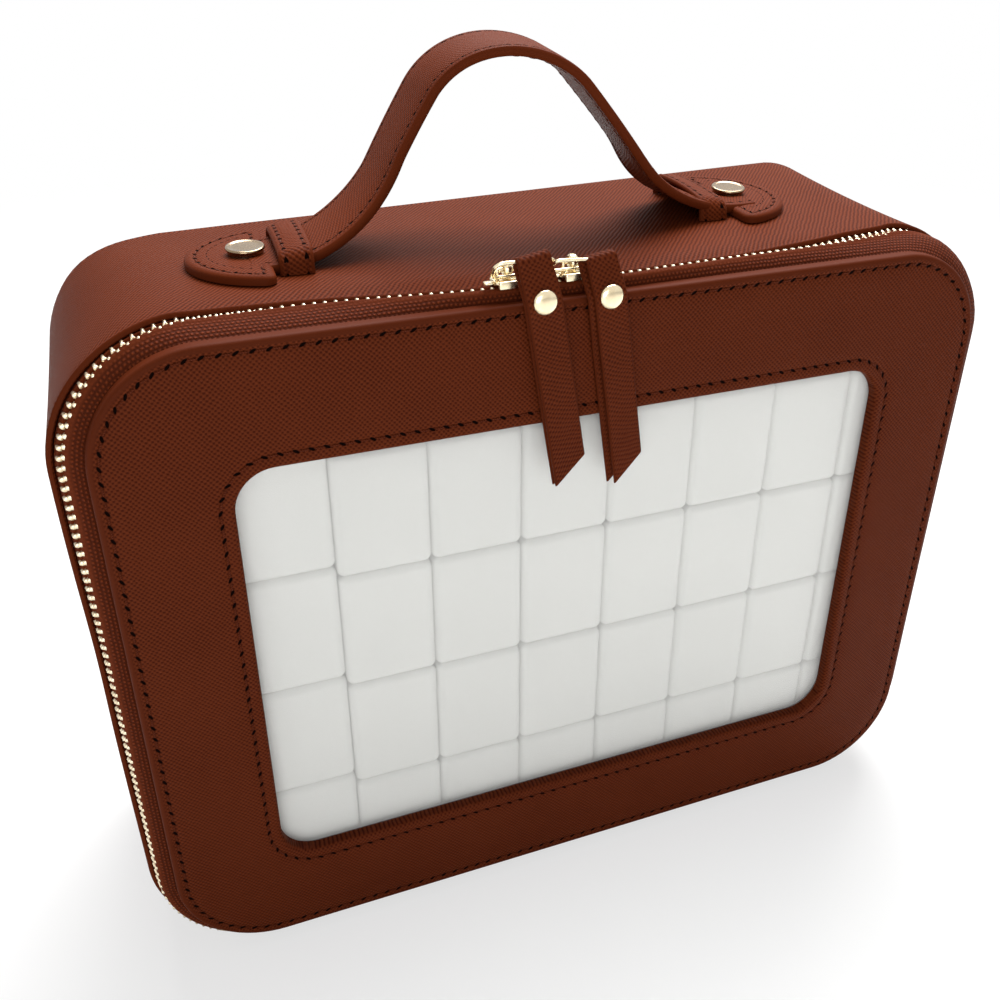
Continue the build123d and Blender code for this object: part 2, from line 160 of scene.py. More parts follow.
class Outline:
    """A rounded rectangle in the XZ plane, from the bottom's middle to the left, up, over and down."""

    def __init__(self, width, height, radius, middle):
        w, h = width / 2 - radius, height / 2 - radius
        self.radius = radius
        self.x = np.array([0, -w, -w, -w, -w, w, w, w, w, 0.0])
        self.z = np.array([-h, -h, -h, h, h, h, h, -h, -h, -h]) + middle
        self.turn = np.radians([-90, -90, -180, -180, -270, -270, -360, -360, -450, -450])
        steps = np.hypot(np.diff(self.x), np.diff(self.z)) + radius * np.abs(np.diff(self.turn))
        self.marks = np.concatenate([[0], np.cumsum(steps)])

    def at(self, knot, out=0.0):
        """x, z and the outward direction, a distance outside the outline."""
        turn = np.interp(knot, KNOTS, self.turn)
        nx, nz = np.cos(turn), np.sin(turn)
        x = np.interp(knot, KNOTS, self.x) + (self.radius + out) * nx
        z = np.interp(knot, KNOTS, self.z) + (self.radius + out) * nz
        return x, z, nx, nz

    def length(self, knot):
        """The distance walked from the bottom's middle."""
        return np.interp(knot, KNOTS, self.marks)

    def knot(self, length):
        return np.interp(length, self.marks, KNOTS)


def grown(outline, distance):
    """The same rounded rectangle, made larger all round."""
    width, height, radius, middle = outline
    return (width + 2 * distance, height + 2 * distance, radius + distance, middle)


def stations(side=48, end=36, corner=18):
    """Knot numbers of the stations round a closed outline, closer together in the corners."""
    counts = [side // 2, corner, end, corner, side, corner, end, corner, side // 2]
    return np.concatenate([k + np.arange(n) / n for k, n in enumerate(counts)])


lid, window, shell, zip_line = (Outline(*o) for o in (LID, WINDOW, SHELL, ZIP))
print("round the lid:", round(lid.marks[-1]), "mm, round the window:", round(window.marks[-1]), "mm")

# %% [markdown]
# ## A case is never quite square
#
# The shell is cloth over thin board. It bulges a little: the front edge stands out at the left, the
# rear corner at the upper right is drawn up and out, and the zip wanders to and fro along the top. Each
# of these is a short table of knots and millimetres, made smooth by a running mean.

# %% Tables that make the case soft
FINE = np.linspace(0, 9, 1801)


def smooth_table(*pairs):
    """A table of (knot, mm), joined by straight lines, then averaged over a quarter of a knot."""
    straight = np.interp(FINE, *zip(*pairs))
    bell = np.exp(-(np.linspace(-2.5, 2.5, 101) ** 2))
    padded = np.pad(straight, 50, mode="edge")
    return np.convolve(padded, bell / bell.sum(), mode="valid")


FRONT_OUT = smooth_table(
    (0, 0), (1, 0), (1.5, 0.6), (2, 1.2), (2.2, 1.5), (2.4, 1.8), (2.6, 1.6), (2.8, 2.4), (3, 2.7),
    (3.33, 1.9), (3.6, 1.0), (4, 0), (5, 0.2), (5.4, 1.4), (5.8, 1.6), (6, 1.3), (6.5, 1.2), (7, 1.0),
    (7.5, 0.9), (8, 0.7), (9, 0),
)
REAR_X = smooth_table(
    (0, 0), (1, 0), (2, -1), (3, -1.2), (3.5, -0.8), (4, 0), (5, 6), (5.5, 4), (6, 3), (8, 0), (9, 0),
)
REAR_Z = smooth_table(
    (0, 0), (3, 0), (3.5, 0.9), (3.72, -0.2), (3.9, -1.3), (4.0, -1.0), (4.1, -0.35), (4.25, 0),
    (5, 3.2), (5.5, 4.1), (6, 6.0), (7, 0), (9, 0),
)
ZIP_BACK = smooth_table(
    (0, 0), (3.2, 0), (3.5, 0.6), (3.8, 2.2), (4.0, 3.8), (4.1, 4.6), (4.18, 4.5), (4.33, -0.6),
    (4.56, -0.6), (4.68, 1.1), (4.84, 1.7), (4.93, 2.8), (5.02, 6.0), (5.3, 6.0), (5.6, 4.5), (6, 3.0),
    (7, 1.0), (8, 0), (9, 0),
)
TAPE_FRONT, SKIN_FRONT = 3.3, 8.2
TOP_MIDDLE, TOP_STRAIGHT = 4.5, SHELL[0] - 2 * SHELL[2]


def swell(knot, depth):
    """How far a point of the shell or zip moves in x and z. In front it goes outwards by FRONT_OUT,
    which grows from the lid's back to the skin's front edge, and fades towards the back, where the
    rear tables take over with the depth's share to the power of 1.5."""
    turn = np.interp(knot, KNOTS, shell.turn)
    near = np.clip((depth - TAPE_FRONT) / (SKIN_FRONT - TAPE_FRONT), 0, 1)
    share = np.clip((depth - SKIN_FRONT) / (DEPTH - SKIN_FRONT), 0, 1)
    out = np.interp(knot, FINE, FRONT_OUT) * near * (1 - share)
    dx = out * np.cos(turn) + np.interp(knot, FINE, REAR_X) * share**1.5
    dz = out * np.sin(turn) + np.interp(knot, FINE, REAR_Z) * share**1.5
    return dx, dz


def top_rise(x, y):
    """How far the top is raised at a place in the plan."""
    return swell(TOP_MIDDLE + x / TOP_STRAIGHT, y - FACE_Y)[1]


def zip_back(knot):
    """How far back from its straight run the zip lies."""
    return np.interp(knot, FINE, ZIP_BACK)


print("the rear corner rises", round(float(REAR_Z.max()), 1), "mm")

# %% [markdown]
# ## Shader maths
#
# A finish is a graph of nodes, but most of it is arithmetic on positions. A small class wraps a
# socket and overloads the operators, so that the arithmetic reads as such and adds its own nodes.

# %% A socket that does arithmetic
class Value:
    """A socket of a finish. Arithmetic on it adds Math nodes."""

    def __init__(self, finish, socket):
        self.finish, self.socket = finish, socket

    def maths(self, operation, *others):
        inputs = dict(enumerate((self, *others)))
        return self.finish.node("Math", {"operation": operation}, inputs)

    def __add__(self, other):
        return self.maths("ADD", other)

    def __sub__(self, other):
        return self.maths("SUBTRACT", other)

    def __mul__(self, other):
        return self.maths("MULTIPLY", other)

    def __truediv__(self, other):
        return self.maths("DIVIDE", other)

    def __rsub__(self, other):
        return (self * -1.0) + other

    __radd__, __rmul__ = __add__, __mul__

    def between(self, low, high):
        """0 below low, 1 above high, and smooth between them."""
        settings = {"interpolation_type": "SMOOTHSTEP"}
        inputs = {"Value": self, "From Min": low, "From Max": high}
        return self.finish.node("MapRange", settings, inputs)


class Finish:
    """A material that is made node by node."""

    def __init__(self, name):
        self.material = bpy.data.materials.new(name)
        self.material.use_nodes = True
        self.tree = self.material.node_tree
        self.tree.nodes.clear()

    def node(self, kind, settings=None, inputs=None, output=0):
        """Add a node: first its settings, then the values or links of its sockets."""
        made = self.tree.nodes.new("ShaderNode" + kind)
        for key, value in (settings or {}).items():
            if key == "stops":
                ramp = made.color_ramp.elements
                while len(ramp) < len(value):
                    ramp.new(0.5)
                for stop, (place, colour) in zip(ramp, value):
                    stop.position, stop.color = place, (*colour, 1)
            else:
                setattr(made, key, value)
        for key, value in (inputs or {}).items():
            if isinstance(value, Value):
                self.tree.links.new(value.socket, made.inputs[key])
            else:
                made.inputs[key].default_value = value
        return Value(self, made.outputs[output])

    def mixed(self, factor, first, second):
        """A colour between two colours."""
        first, second = ((*c, 1) if isinstance(c, tuple) else c for c in (first, second))
        return self.node("Mix", {"data_type": "RGBA"}, {0: factor, 6: first, 7: second}, 2)

    def noise(self, vector, scale, detail=3.0):
        """Cloudy noise from 0 to 1."""
        return self.node("TexNoise", None, {"Vector": vector, "Scale": scale, "Detail": detail})

    def place(self):
        """The point's place in the piece, in metres."""
        return self.node("TexCoord", None, None, "Object")

    def along(self, map_name):
        """u and v of one of the piece's own UV maps."""
        uv = self.node("UVMap", {"uv_map": map_name})
        return [self.node("SeparateXYZ", None, {0: uv}, k) for k in (0, 1)]

    def shader(self, **sockets):
        """End the finish with a Principled shader. Underscores in a socket's name are spaces."""
        inputs = {key.replace("_", " "): value for key, value in sockets.items()}
        surface = self.node("BsdfPrincipled", None, inputs)
        self.node_output(surface)
        return self.material

    def node_output(self, surface):
        end = self.tree.nodes.new("ShaderNodeOutputMaterial")
        self.tree.links.new(surface.socket, end.inputs["Surface"])


def sine(value):
    """A wave from 0 to 1 that repeats each time the value grows by one."""
    return (value * (2 * math.pi)).maths("SINE") * 0.5 + 0.5


print("shader maths ready")

# %% [markdown]
# ## Leather cloth
#
# The cloth is pressed between rollers with two sets of fine diagonal lines, one deeper than the other,
# and the edges are folded or painted, which leaves them smooth. The pressed lines are painted darker
# and the ridges lighter, as painted shade and painted light of the relief, with a random cloudy tone
# mixed in. The pattern follows a UV map in millimetres, so it keeps its size round every bend. Needle
# holes are slits painted almost black, as painted shade inside them, at each whole number of a second
# UV map, whose u counts stitches and whose v is the distance from the row. Along each row the leather
# is painted darker too, as painted shade in the channel that the stitches pull in.

# %% Leather cloth finish
# The darker colour is partly the leather's own darker tone and partly painted shade, for the pressed
# lines and the stitch rows.
LEATHER_LIGHT, LEATHER_DARK_TONE_AND_SHADE = (0.124, 0.0232, 0.0064), (0.054, 0.0082, 0.0020)
# The colour of the painted shade inside the needle holes.
HOLE_SHADE = (0.0015, 0.0006, 0.0004)
STITCH_PITCH, SLIT_LEAN, SLIT_HALF, SLIT_WIDE = 3.15, 0.45, 0.68, 0.13


def leather(name, steep, pitch, second_share, deep, tone, shine=0.03, stitched=True):
    """Embossed leather cloth. steep is the angle of the deeper lines from u, in degrees, pitch and
    deep are their spacing and depth in mm, and second_share is how much of the relief the crossing
    lines have. A slit is an ellipse, leaning a little, round each whole stitch number."""
    light, dark = (tuple(tone * x for x in colour) for colour in (LEATHER_LIGHT, LEATHER_DARK_TONE_AND_SHADE))
    f = Finish(name)
    place = f.place()
    u, v = f.along("skin")
    cloud = f.noise(place, 55.0, 4.0)
    fine = f.noise(place, 2600.0, 2.0)
    waver = f.noise(place, 300.0, 2.0)
    c, s = math.cos(math.radians(steep)), math.sin(math.radians(steep))
    first = sine((u * s - v * c) / pitch + waver * 0.8)
    second = sine((u * s + v * c) / pitch + waver * 1.0)
    rim = f.node("Attribute", {"attribute_name": "rim"}, None, "Fac")
    pressed = (first * (1 - second_share) + second * second_share) * (1 - rim)
    height = pressed + fine * 0.22 + cloud * 0.3
    # Painted shade and light: the pressed lines are painted darker and the ridges lighter, mixed with a
    # random cloudy tone.
    groove_shade_and_tone = (pressed * 0.75 + cloud * 0.25).between(0.12, 0.70)
    colour = f.mixed(groove_shade_and_tone, dark, light)
    colour = f.mixed(rim * 0.6, colour, light)
    if stitched:
        count, away = f.along("stitch")
        step = (count - count.maths("ROUND")) * STITCH_PITCH
        across = away + step * SLIT_LEAN
        slit = (step / SLIT_HALF) * (step / SLIT_HALF) + across * across / SLIT_WIDE
        hole = 1 - slit.between(0.5, 1.2)
        # Painted shade in the channel along the stitch row.
        seam_shade = 1 - away.maths("ABSOLUTE").between(0.12, 0.5)
        colour = f.mixed(seam_shade * 0.45, colour, dark)
        # Painted shade: the inside of each needle hole is painted almost black.
        colour = f.mixed(hole * 0.97, colour, HOLE_SHADE)
        height = height * (1 - hole) - hole * 4.0
        fine = fine + hole * 4.0
    rough = 0.52 - groove_shade_and_tone * 0.06 + fine * 0.10 - rim * 0.04
    bump = f.node("Bump", None, {"Height": height, "Distance": deep * MM, "Strength": 1.0})
    return f.shader(Base_Color=colour, Roughness=rough, Normal=bump, Specular_IOR_Level=shine)


panel_leather = leather("embossed_leather", 45.0, 0.78, 0.5, 0.12, 0.84)
skin_leather = leather("embossed_leather_gusset", 53.0, 0.93, 0.22, 0.12, 0.92, 0.018, stitched=False)
strap_leather = leather("strap_leather", 52.0, 0.80, 0.4, 0.10, 0.98, 0.018)
pull_leather = leather("pull_leather", 48.0, 0.86, 0.5, 0.14, 0.84, stitched=False)
print("leather finishes:", panel_leather.name, strap_leather.name)

# %% [markdown]
# ## Thread, tape, metal, tiles and the rest
#
# Thread is twisted, so it has slanting ridges. The zip's tape is woven in short floats. Metal is pale
# gold, and darker and satin on the studs. The tiles are a hard glossy resin in two close whites.

# %% Other finishes
def thread_finish():
    """Twisted thread: ridges that climb slantwise round it."""
    f = Finish("thread")
    u, v = f.along("skin")
    ply = sine(u / 0.55 + v)
    fuzz = f.noise(f.place(), 1800.0)
    colour = f.mixed(ply * 0.6 + fuzz * 0.3, (0.050, 0.0080, 0.0024), (0.120, 0.0225, 0.0064))
    bump = f.node("Bump", None, {"Height": ply + fuzz * 0.4, "Distance": 0.06 * MM})
    return f.shader(Base_Color=colour, Roughness=0.55, Normal=bump, Specular_IOR_Level=0.05)


def tape_finish():
    """Woven tape: rows of short floats, each row shifted by half a float from the last, with a
    smoother selvedge by the teeth."""
    f = Finish("woven_tape")
    u, v = f.along("skin")
    waver = f.noise(f.place(), 500.0, 2.0)
    rows = v / 0.80 + waver * 0.5
    shift = rows.maths("FLOOR") * 0.5
    float_ = sine(u / 0.98 + shift + waver * 0.4) * sine(rows - 0.25)
    hair = f.noise(f.place(), 3000.0, 2.0)
    selvedge = f.node("Attribute", {"attribute_name": "rim"}, None, "Fac")
    weave = float_ * (1 - selvedge * 0.8)
    raised = weave * 0.7 + hair * 0.2 + selvedge * 0.3
    colour = f.mixed(raised, (0.040, 0.0064, 0.0017), (0.195, 0.0365, 0.0100))
    bump = f.node("Bump", None, {"Height": weave + hair * 0.3, "Distance": 0.22 * MM})
    return f.shader(Base_Color=colour, Roughness=0.72, Normal=bump, Specular_IOR_Level=0.05)


def metal_finish(name, colour, shade, rough, grain=900.0, deep=0.010):
    """Plated metal: fine wear in its gloss, and a darker tone here and there."""
    f = Finish(name)
    place = f.place()
    wear, cloud = f.noise(place, grain, 4.0), f.noise(place, 140.0, 2.0)
    tone = f.mixed((wear * 0.5 + cloud * 0.5).between(0.35, 0.75), shade, colour)
    bump = f.node("Bump", None, {"Height": wear, "Distance": deep * MM})
    return f.shader(Base_Color=tone, Metallic=1.0, Roughness=rough + wear * 0.14, Normal=bump)


def tile_finish():
    """Pale resin: a soft cloud of two whites, and a polished face with faint ripples."""
    f = Finish("tile_resin")
    place = f.place()
    cloud, ripple = f.noise(place, 38.0, 2.0), f.noise(place, 240.0, 1.0)
    colour = f.mixed(cloud.between(0.2, 0.8), (0.760, 0.762, 0.738), (0.785, 0.787, 0.763))
    bump = f.node("Bump", None, {"Height": ripple, "Distance": 0.006 * MM})
    rough = 0.30 + ripple * 0.06
    return f.shader(Base_Color=colour, Roughness=rough, Normal=bump, Specular_IOR_Level=0.3)


def film_finish():
    """Clear sheet: almost all of the light passes, and its slow waves show in the gloss."""
    f = Finish("clear_sheet")
    wave = f.noise(f.place(), 16.0, 1.0)
    bump = f.node("Bump", None, {"Height": wave, "Distance": 0.15 * MM})
    veil = 0.20 + wave * 0.05
    return f.shader(Base_Color=(0.82, 0.82, 0.80, 1), Roughness=0.12, Alpha=veil, Normal=bump)


def cloth_finish(name, dark, light, pitch=0.55):
    """Plain woven lining: two sets of threads that cross at right angles."""
    f = Finish(name)
    place = f.place()
    x, y, z = (f.node("SeparateXYZ", None, {0: place}, k) for k in range(3))
    weave = sine((x + y) / (pitch * MM)) * sine((z + y) / (pitch * MM))
    slub = f.noise(place, 420.0)
    colour = f.mixed(weave * 0.5 + slub * 0.5, dark, light)
    bump = f.node("Bump", None, {"Height": weave + slub * 0.5, "Distance": 0.07 * MM})
    return f.shader(Base_Color=colour, Roughness=0.82, Normal=bump)


def board_finish():
    """Grey pressed board, with flecks of fibre."""
    f = Finish("grey_board")
    fleck, pulp = f.noise(f.place(), 1500.0, 5.0), f.noise(f.place(), 120.0)
    colour = f.mixed(fleck * 0.6 + pulp * 0.4, (0.20, 0.18, 0.15), (0.36, 0.33, 0.28))
    bump = f.node("Bump", None, {"Height": fleck, "Distance": 0.08 * MM})
    return f.shader(Base_Color=colour, Roughness=0.88, Normal=bump)


thread = thread_finish()
tape = tape_finish()
gold = metal_finish("gold_plate", (0.94, 0.84, 0.60), (0.80, 0.66, 0.43), 0.16)
satin_gold = metal_finish("satin_gold", (0.34, 0.245, 0.150), (0.25, 0.18, 0.11), 0.10, 3200.0, 0.004)
tooth_metal = metal_finish("tooth_metal", (0.90, 0.80, 0.60), (0.72, 0.60, 0.41), 0.24)
resin, sheet = tile_finish(), film_finish()
lining = cloth_finish("lining_cloth", (0.030, 0.008, 0.004), (0.065, 0.018, 0.009))
pad_cloth = cloth_finish("pad_cloth", (0.030, 0.012, 0.009), (0.070, 0.026, 0.018), 0.8)
board = board_finish()
print("finishes:", len(bpy.data.materials))

# %% [markdown]
# ## Nodes that keep their own shape
#
# Boards, linings, the film, the tiles and the washers have the right shape already, so each only
# gets its finish.

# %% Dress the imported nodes
def dress(material, *names):
    """Put a finish in every material slot of these nodes."""
    for name in names:
        mesh = nodes[name].data
        if not mesh.materials:
            mesh.materials.append(material)
        for slot in range(len(mesh.materials)):
            mesh.materials[slot] = material


dress(board, "lid_board", "gusset_board", "back_board")
dress(lining, "lid_lining", "shell_lining")
dress(pad_cloth, "floor_pad")
dress(sheet, "window_film")
dress(resin, *(f"tile_layer_{layer}" for layer in (1, 2, 3, 4)))
dress(gold, "stud_washer_left", "stud_washer_right")
dress(tooth_metal, "front_end_stops", "rear_end_stops")
print("dressed", sum(1 for n in nodes.values() if n.data.materials), "nodes")

# %% [markdown]
# ## The lid's panel
#
# The leather is glued over a board frame and turned round its edges, at the window and outside. It is
# one ring with a section: out of the window's lip, over the face, round the rim and back under the
# board. Each row of stitches pulls the leather down into a shallow channel.

# %% Lid panel
WINDOW_ROW, LID_ROW, CHANNEL, RIM_SUNK = 3.0, 2.3, 0.24, 0.05
NO_STITCH = 9.0


def channel(away):
    """How far the leather is pulled in near a row of stitches: a bell of the distance from it."""
    return CHANNEL * np.exp(-((away / 0.75) ** 2))


def lid_panel():
    """Ring surface. Each section row is an outline at some distance outside or inside it and some
    depth. Rows near the window follow the window, rows near the rim follow the lid, and rows between
    are weighted means of the two."""
    t = stations()[:, None]
    arc = np.linspace(0, math.pi / 2, 6)
    face_out = [1.6, 2.1, 2.5, 2.8, 3.0, 3.2, 3.5, 4.0, 6.0]
    lip_out = np.concatenate([[0, 0], 1.1 - 1.1 * np.cos(arc), face_out])
    lip_depth = np.concatenate([[3.0, 2.0], 1.1 - 1.1 * np.sin(arc), np.zeros(9)])
    lip_depth = lip_depth + channel(lip_out - WINDOW_ROW)
    rim_out = -np.concatenate([[6.0, 3.5, 2.9, 2.6, 2.3, 2.0, 1.6], 1.0 - np.sin(arc), [0.0, 0.0]])
    rim_depth = np.concatenate([np.zeros(7), 1.0 - np.cos(arc), [2.2, 3.0]])
    rim_depth = rim_depth + channel(rim_out + LID_ROW) - RIM_SUNK
    wx, wz, _, _ = window.at(t, lip_out[None])
    lx, lz, _, _ = lid.at(t, rim_out[None])
    share = np.linspace(0, 1, 7)[1:-1][None]
    mid_x = wx[:, -1:] * (1 - share) + lx[:, :1] * share
    mid_z = wz[:, -1:] * (1 - share) + lz[:, :1] * share
    hx, hz, _, _ = lid.at(t, np.array([[-1.2, -1.2]]))
    bx, bz, _, _ = window.at(t, np.array([[1.2, 1.2]]))
    x = np.concatenate([wx, mid_x, lx, hx, bx], 1)
    z = np.concatenate([wz, mid_z, lz, hz, bz], 1)
    depth = np.concatenate([lip_depth, np.zeros(5), rim_depth, [3.0, 1.2, 1.2, 3.0]])
    rim_away = -(rim_out + LID_ROW)
    away = np.concatenate([lip_out - WINDOW_ROW, np.full(5, 3.0), rim_away, np.full(5, NO_STITCH)])
    painted = np.interp(rim_out, [-1.6, -0.9], [0, 1])
    edge = np.concatenate([np.zeros(len(lip_out) + 5), painted, np.zeros(4)])
    ts = np.concatenate([stations(), [9.0]])[:, None]
    rows = [Outline(*grown(WINDOW, WINDOW_ROW)), Outline(*grown(LID, -LID_ROW))]
    counts = [np.round(row.marks[-1] / STITCH_PITCH) / row.marks[-1] for row in rows]
    near = np.arange(len(depth) + 1) < len(lip_out) + 3
    u = np.where(near[None], rows[0].length(ts) * counts[0], rows[1].length(ts) * counts[1])
    skin = [np.concatenate([looped(a), looped(a)[:, :1]], 1) for a in (x, z)]
    uvs = {"skin": skin, "stitch": (u, away[None])}
    return solid("lid_panel", stack(x, FACE_Y + depth, z), uvs, edge[None], True, finish=panel_leather)


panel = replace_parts(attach(lid_panel(), "lid"), "lid_leather")
print("lid panel:", len(panel.data.polygons), "faces")

# %% [markdown]
# ## Stitches
#
# Each stitch is a short twisted thread that comes out of one hole and dives into the next. It is a
# tube of a few faces, thick in the middle and thin at its ends, and one array holds them all.

# %% Threads between holes
def threads(name, starts, ends, outward, radius=0.2):
    """Tubes between two sets of points. Along each, the radius is a root of a sine, and the middle
    line rises by half the radius and sinks below the skin at both ends."""
    p = np.linspace(0.0, 1.0, 7)
    thick = radius * np.sqrt(np.clip(np.sin(np.pi * (0.06 + 0.88 * p)), 0, 1))
    lift = radius * (0.45 - 2.0 * np.abs(2 * p - 1) ** 5)
    a = np.arange(6) * math.pi / 3
    line = starts[:, None] + (ends - starts)[:, None] * p[None, :, None]
    side = np.cross(ends - starts, outward)
    side /= np.linalg.norm(side, axis=1, keepdims=True)
    across = (thick[:, None] * np.cos(a))[None, :, :, None] * side[:, None, None]
    up = (lift[:, None] + 0.8 * thick[:, None] * np.sin(a))[None, :, :, None] * outward[:, None, None]
    uvs = {"skin": (p[:, None] * 2.6, np.arange(7)[None] / 6)}
    return solid(name, line[:, :, None] + across + up, uvs, finish=thread)


def outline_stitches(name, outline, depth):
    """Stitches round a whole outline on the lid's face, a whole number of them."""
    count = int(round(outline.marks[-1] / STITCH_PITCH))
    ends = []
    for offset in (0.12, 0.88):
        length = (np.arange(count) + offset) * outline.marks[-1] / count
        x, z, _, _ = outline.at(outline.knot(length))
        ends.append(stack(x, np.full(count, FACE_Y + depth), z))
    return threads(name, ends[0], ends[1], np.tile([[0.0, -1.0, 0.0]], (count, 1)))


for name, outline, depth in (
    ("window_stitches", Outline(*grown(WINDOW, WINDOW_ROW)), CHANNEL),
    ("lid_stitches", Outline(*grown(LID, -LID_ROW)), CHANNEL - RIM_SUNK),
):
    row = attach(outline_stitches(name, outline, depth), "lid")
    print(name, len(row.data.polygons), "faces")

# %% [markdown]
# ## The shell's skin
#
# One strip of leather goes right round the sides. Its front edge is folded over and lies against the
# zip: in the middle of the top it reaches the teeth, and towards the corners it stands back and shows
# a strip of tape. The back is a separate panel with a rounded edge.

# %% Gusset and back
LIP_TABLE = [3.0, 3.6, 3.9, 4.25, 4.74, 4.93, 5.2], [8.2, 7.4, 7.0, 5.3, 5.3, 6.9, 7.2]
BOARD_BACK, LINING_OUT = 72.0, -1.4


def hidden_row(knot):
    """1 where the skin reaches forward to the front row of teeth, which hides the rear row, else 0."""
    return np.interp(knot, LIP_TABLE[0][2:6], [0, 1, 1, 0])


def rear_row_drop(knot):
    """How far the zip's rear row lies lower where the skin covers it."""
    return 0.9 * hidden_row(knot)


def lip_depth(knot):
    """Depth of the skin's folded front edge: behind both rows, or just behind the front row."""
    return np.interp(knot, *LIP_TABLE) + zip_back(knot)


def gusset():
    """Ring surface: the section runs from the inside back edge, round the folded front edge, and along
    the outside to the back. A faint crease follows the fold. Where the rear row of teeth is hidden,
    the front edge droops over it, by a power of the nearness to the edge."""
    t = stations(96, 60, 26)
    lip = lip_depth(t)[:, None]
    low = hidden_row(t)[:, None]
    fold = np.array([[0.8, 0.25, 0.0, 0.0, 0.12, 0.3, 0.5, 0.8, 1.2, 1.7, 2.6, 4.2]])
    fold_out = np.array([[-1.4, -1.2, -0.9, -0.5, -0.2, -0.05, 0.0, -0.03, -0.08, -0.02, 0.0, 0.0]])
    share = np.linspace(0, 1, 26)[None, 1:]
    depth = np.concatenate([np.full_like(lip, BOARD_BACK), lip + 4.0, lip + fold], 1)
    depth = np.concatenate([depth, (lip + 4.2) * (1 - share) + BOARD_BACK * share], 1)
    out = np.concatenate([np.full((1, 2), LINING_OUT), fold_out, np.zeros_like(share)], 1)
    droop = 1.05 * low * np.clip(1 - (depth - lip) / 5.0, 0, 1) ** 1.2
    droop[:, :2] = 0
    x, z, _, _ = shell.at(t[:, None], out - droop)
    dx, dz = swell(t[:, None], depth)
    x, z = x + dx, z + dz
    ts = np.concatenate([t, [9.0]])[:, None]
    depth_uv = np.concatenate([looped(depth), looped(depth)[:, :1]], 1)
    edge = np.concatenate([np.zeros(4), [1, 1, 1, 0.7, 0.3], np.zeros(depth.shape[1] - 9)])
    uvs = {"skin": (shell.length(ts), depth_uv)}
    return solid("gusset_skin", stack(x, FACE_Y + depth, z), uvs, edge[None], True, finish=skin_leather)


def back_panel():
    """A shallow pan: rows from the inside's middle, out to the rim, round it, and in to the middle
    again. Towards the middle a row is the last outline, scaled down."""
    t = stations()[None]
    arc = np.linspace(0, math.pi / 2, 8)
    inner = 74.6
    out = [[-6.0, LINING_OUT, LINING_OUT, 0.0, 0.0], 3.0 * np.cos(arc) - 3.0, [-4.0, -6.0]]
    depth = [[inner, inner, BOARD_BACK, BOARD_BACK, 72.5], 73.0 + 3.0 * np.sin(arc), [DEPTH, DEPTH]]
    out, depth = (np.concatenate(a)[:, None] for a in (out, depth))
    x, z, _, _ = shell.at(t, out)
    dx, dz = swell(t, depth)
    x, z = x + dx, z + dz
    scale = np.array([0.02, 0.25, 0.5, 0.75])[:, None]
    middle = SHELL[3]
    x = np.concatenate([x[:1] * scale, x, x[-1:] * scale[::-1]])
    z = np.concatenate([middle + (z[:1] - middle) * scale, z, middle + (z[-1:] - middle) * scale[::-1]])
    depth = np.concatenate([np.full((4, 1), inner), depth, np.full((4, 1), DEPTH)])
    uvs = {"skin": [np.concatenate([a, a[:, :1]], 1) for a in (x, z)]}
    return solid("back_panel", stack(x, FACE_Y + depth, z), uvs, np.zeros((1, 1)), finish=skin_leather)


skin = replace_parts(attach(gusset(), "shell"), "gusset_leather")
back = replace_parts(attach(back_panel(), "shell"), "back_leather")
print("gusset:", len(skin.data.polygons), "faces, back:", len(back.data.polygons))

# %% [markdown]
# ## The zip
#
# Each half of the zip is a woven tape with a corded edge, and a row of metal teeth that grip the cord.
# The front tape comes out from under the lid's panel and leans back up to the teeth. The rear tape
# runs in under the skin. The two rows are half a tooth apart, so that they lock.

# %% Zip tapes
CORNER_Z, ZIP_END_Z, TAPE_STEP = 28.0, 6.5, 2.5
ZIP_START = zip_line.knot(zip_line.marks[1] + ZIP[2] * math.acos((CORNER_Z - ZIP_END_Z) / ZIP[2]))
ZIP_SPAN = (float(ZIP_START), 9.0 - float(ZIP_START))
TAPE_HALF, CORD_HALF = 0.26, 0.42


def zip_stations(spacing):
    """Knot numbers at an even spacing, in mm, along the zip."""
    start, end = zip_line.length(ZIP_SPAN[0]), zip_line.length(ZIP_SPAN[1])
    return zip_line.knot(np.linspace(start, end, int((end - start) / spacing) + 1))


def tape_strip(name, out, depth):
    """A woven strip along the zip. Its section is a middle line, made as thick as the tape both ways
    along its own normal, with a round cord at the end next to the teeth."""
    t = zip_stations(TAPE_STEP)
    out, depth = (np.broadcast_to(a, (len(t), np.shape(a)[-1])) for a in (out, depth))
    depth = depth + zip_back(t)[:, None] * np.clip((np.arange(out.shape[1]) - 2) / 4, 0, 1)[None]
    run_out, run_depth = np.gradient(out, axis=1), np.gradient(depth, axis=1)
    size = np.hypot(run_out, run_depth)
    half = np.where(np.arange(out.shape[1]) >= out.shape[1] - 3, CORD_HALF, TAPE_HALF)
    a, b = run_depth / size * half, run_out / size * half
    steps = (np.diff(a, axis=1, prepend=a[:, :1]) for a in (out, depth))
    across = np.cumsum(np.hypot(*steps), 1)
    outs = np.concatenate([out + a, (out - a)[:, ::-1]], 1)
    depths = np.concatenate([depth - b, (depth + b)[:, ::-1]], 1)
    v = np.concatenate([across, across[:, ::-1], across[:, :1]], 1)
    x, z, _, _ = zip_line.at(t[:, None], outs)
    dx, dz = swell(t[:, None], depths)
    x, z = x + dx, z + dz
    cord = np.where(across > across[:, -1:] - 0.9, 1.0, 0.0)
    rim = np.concatenate([cord, cord[:, ::-1]], 1)
    uvs = {"skin": (zip_line.length(t)[:, None], v)}
    return solid(name, stack(x, FACE_Y + depths, z), uvs, rim, finish=tape)


def hump(knot):
    """Where the front tape swells out past the teeth, round the right corner."""
    return np.interp(knot, [5.1, 5.4, 5.9, 6.6, 8.0], [0, 0.6, 1.15, 0.8, 0.2])


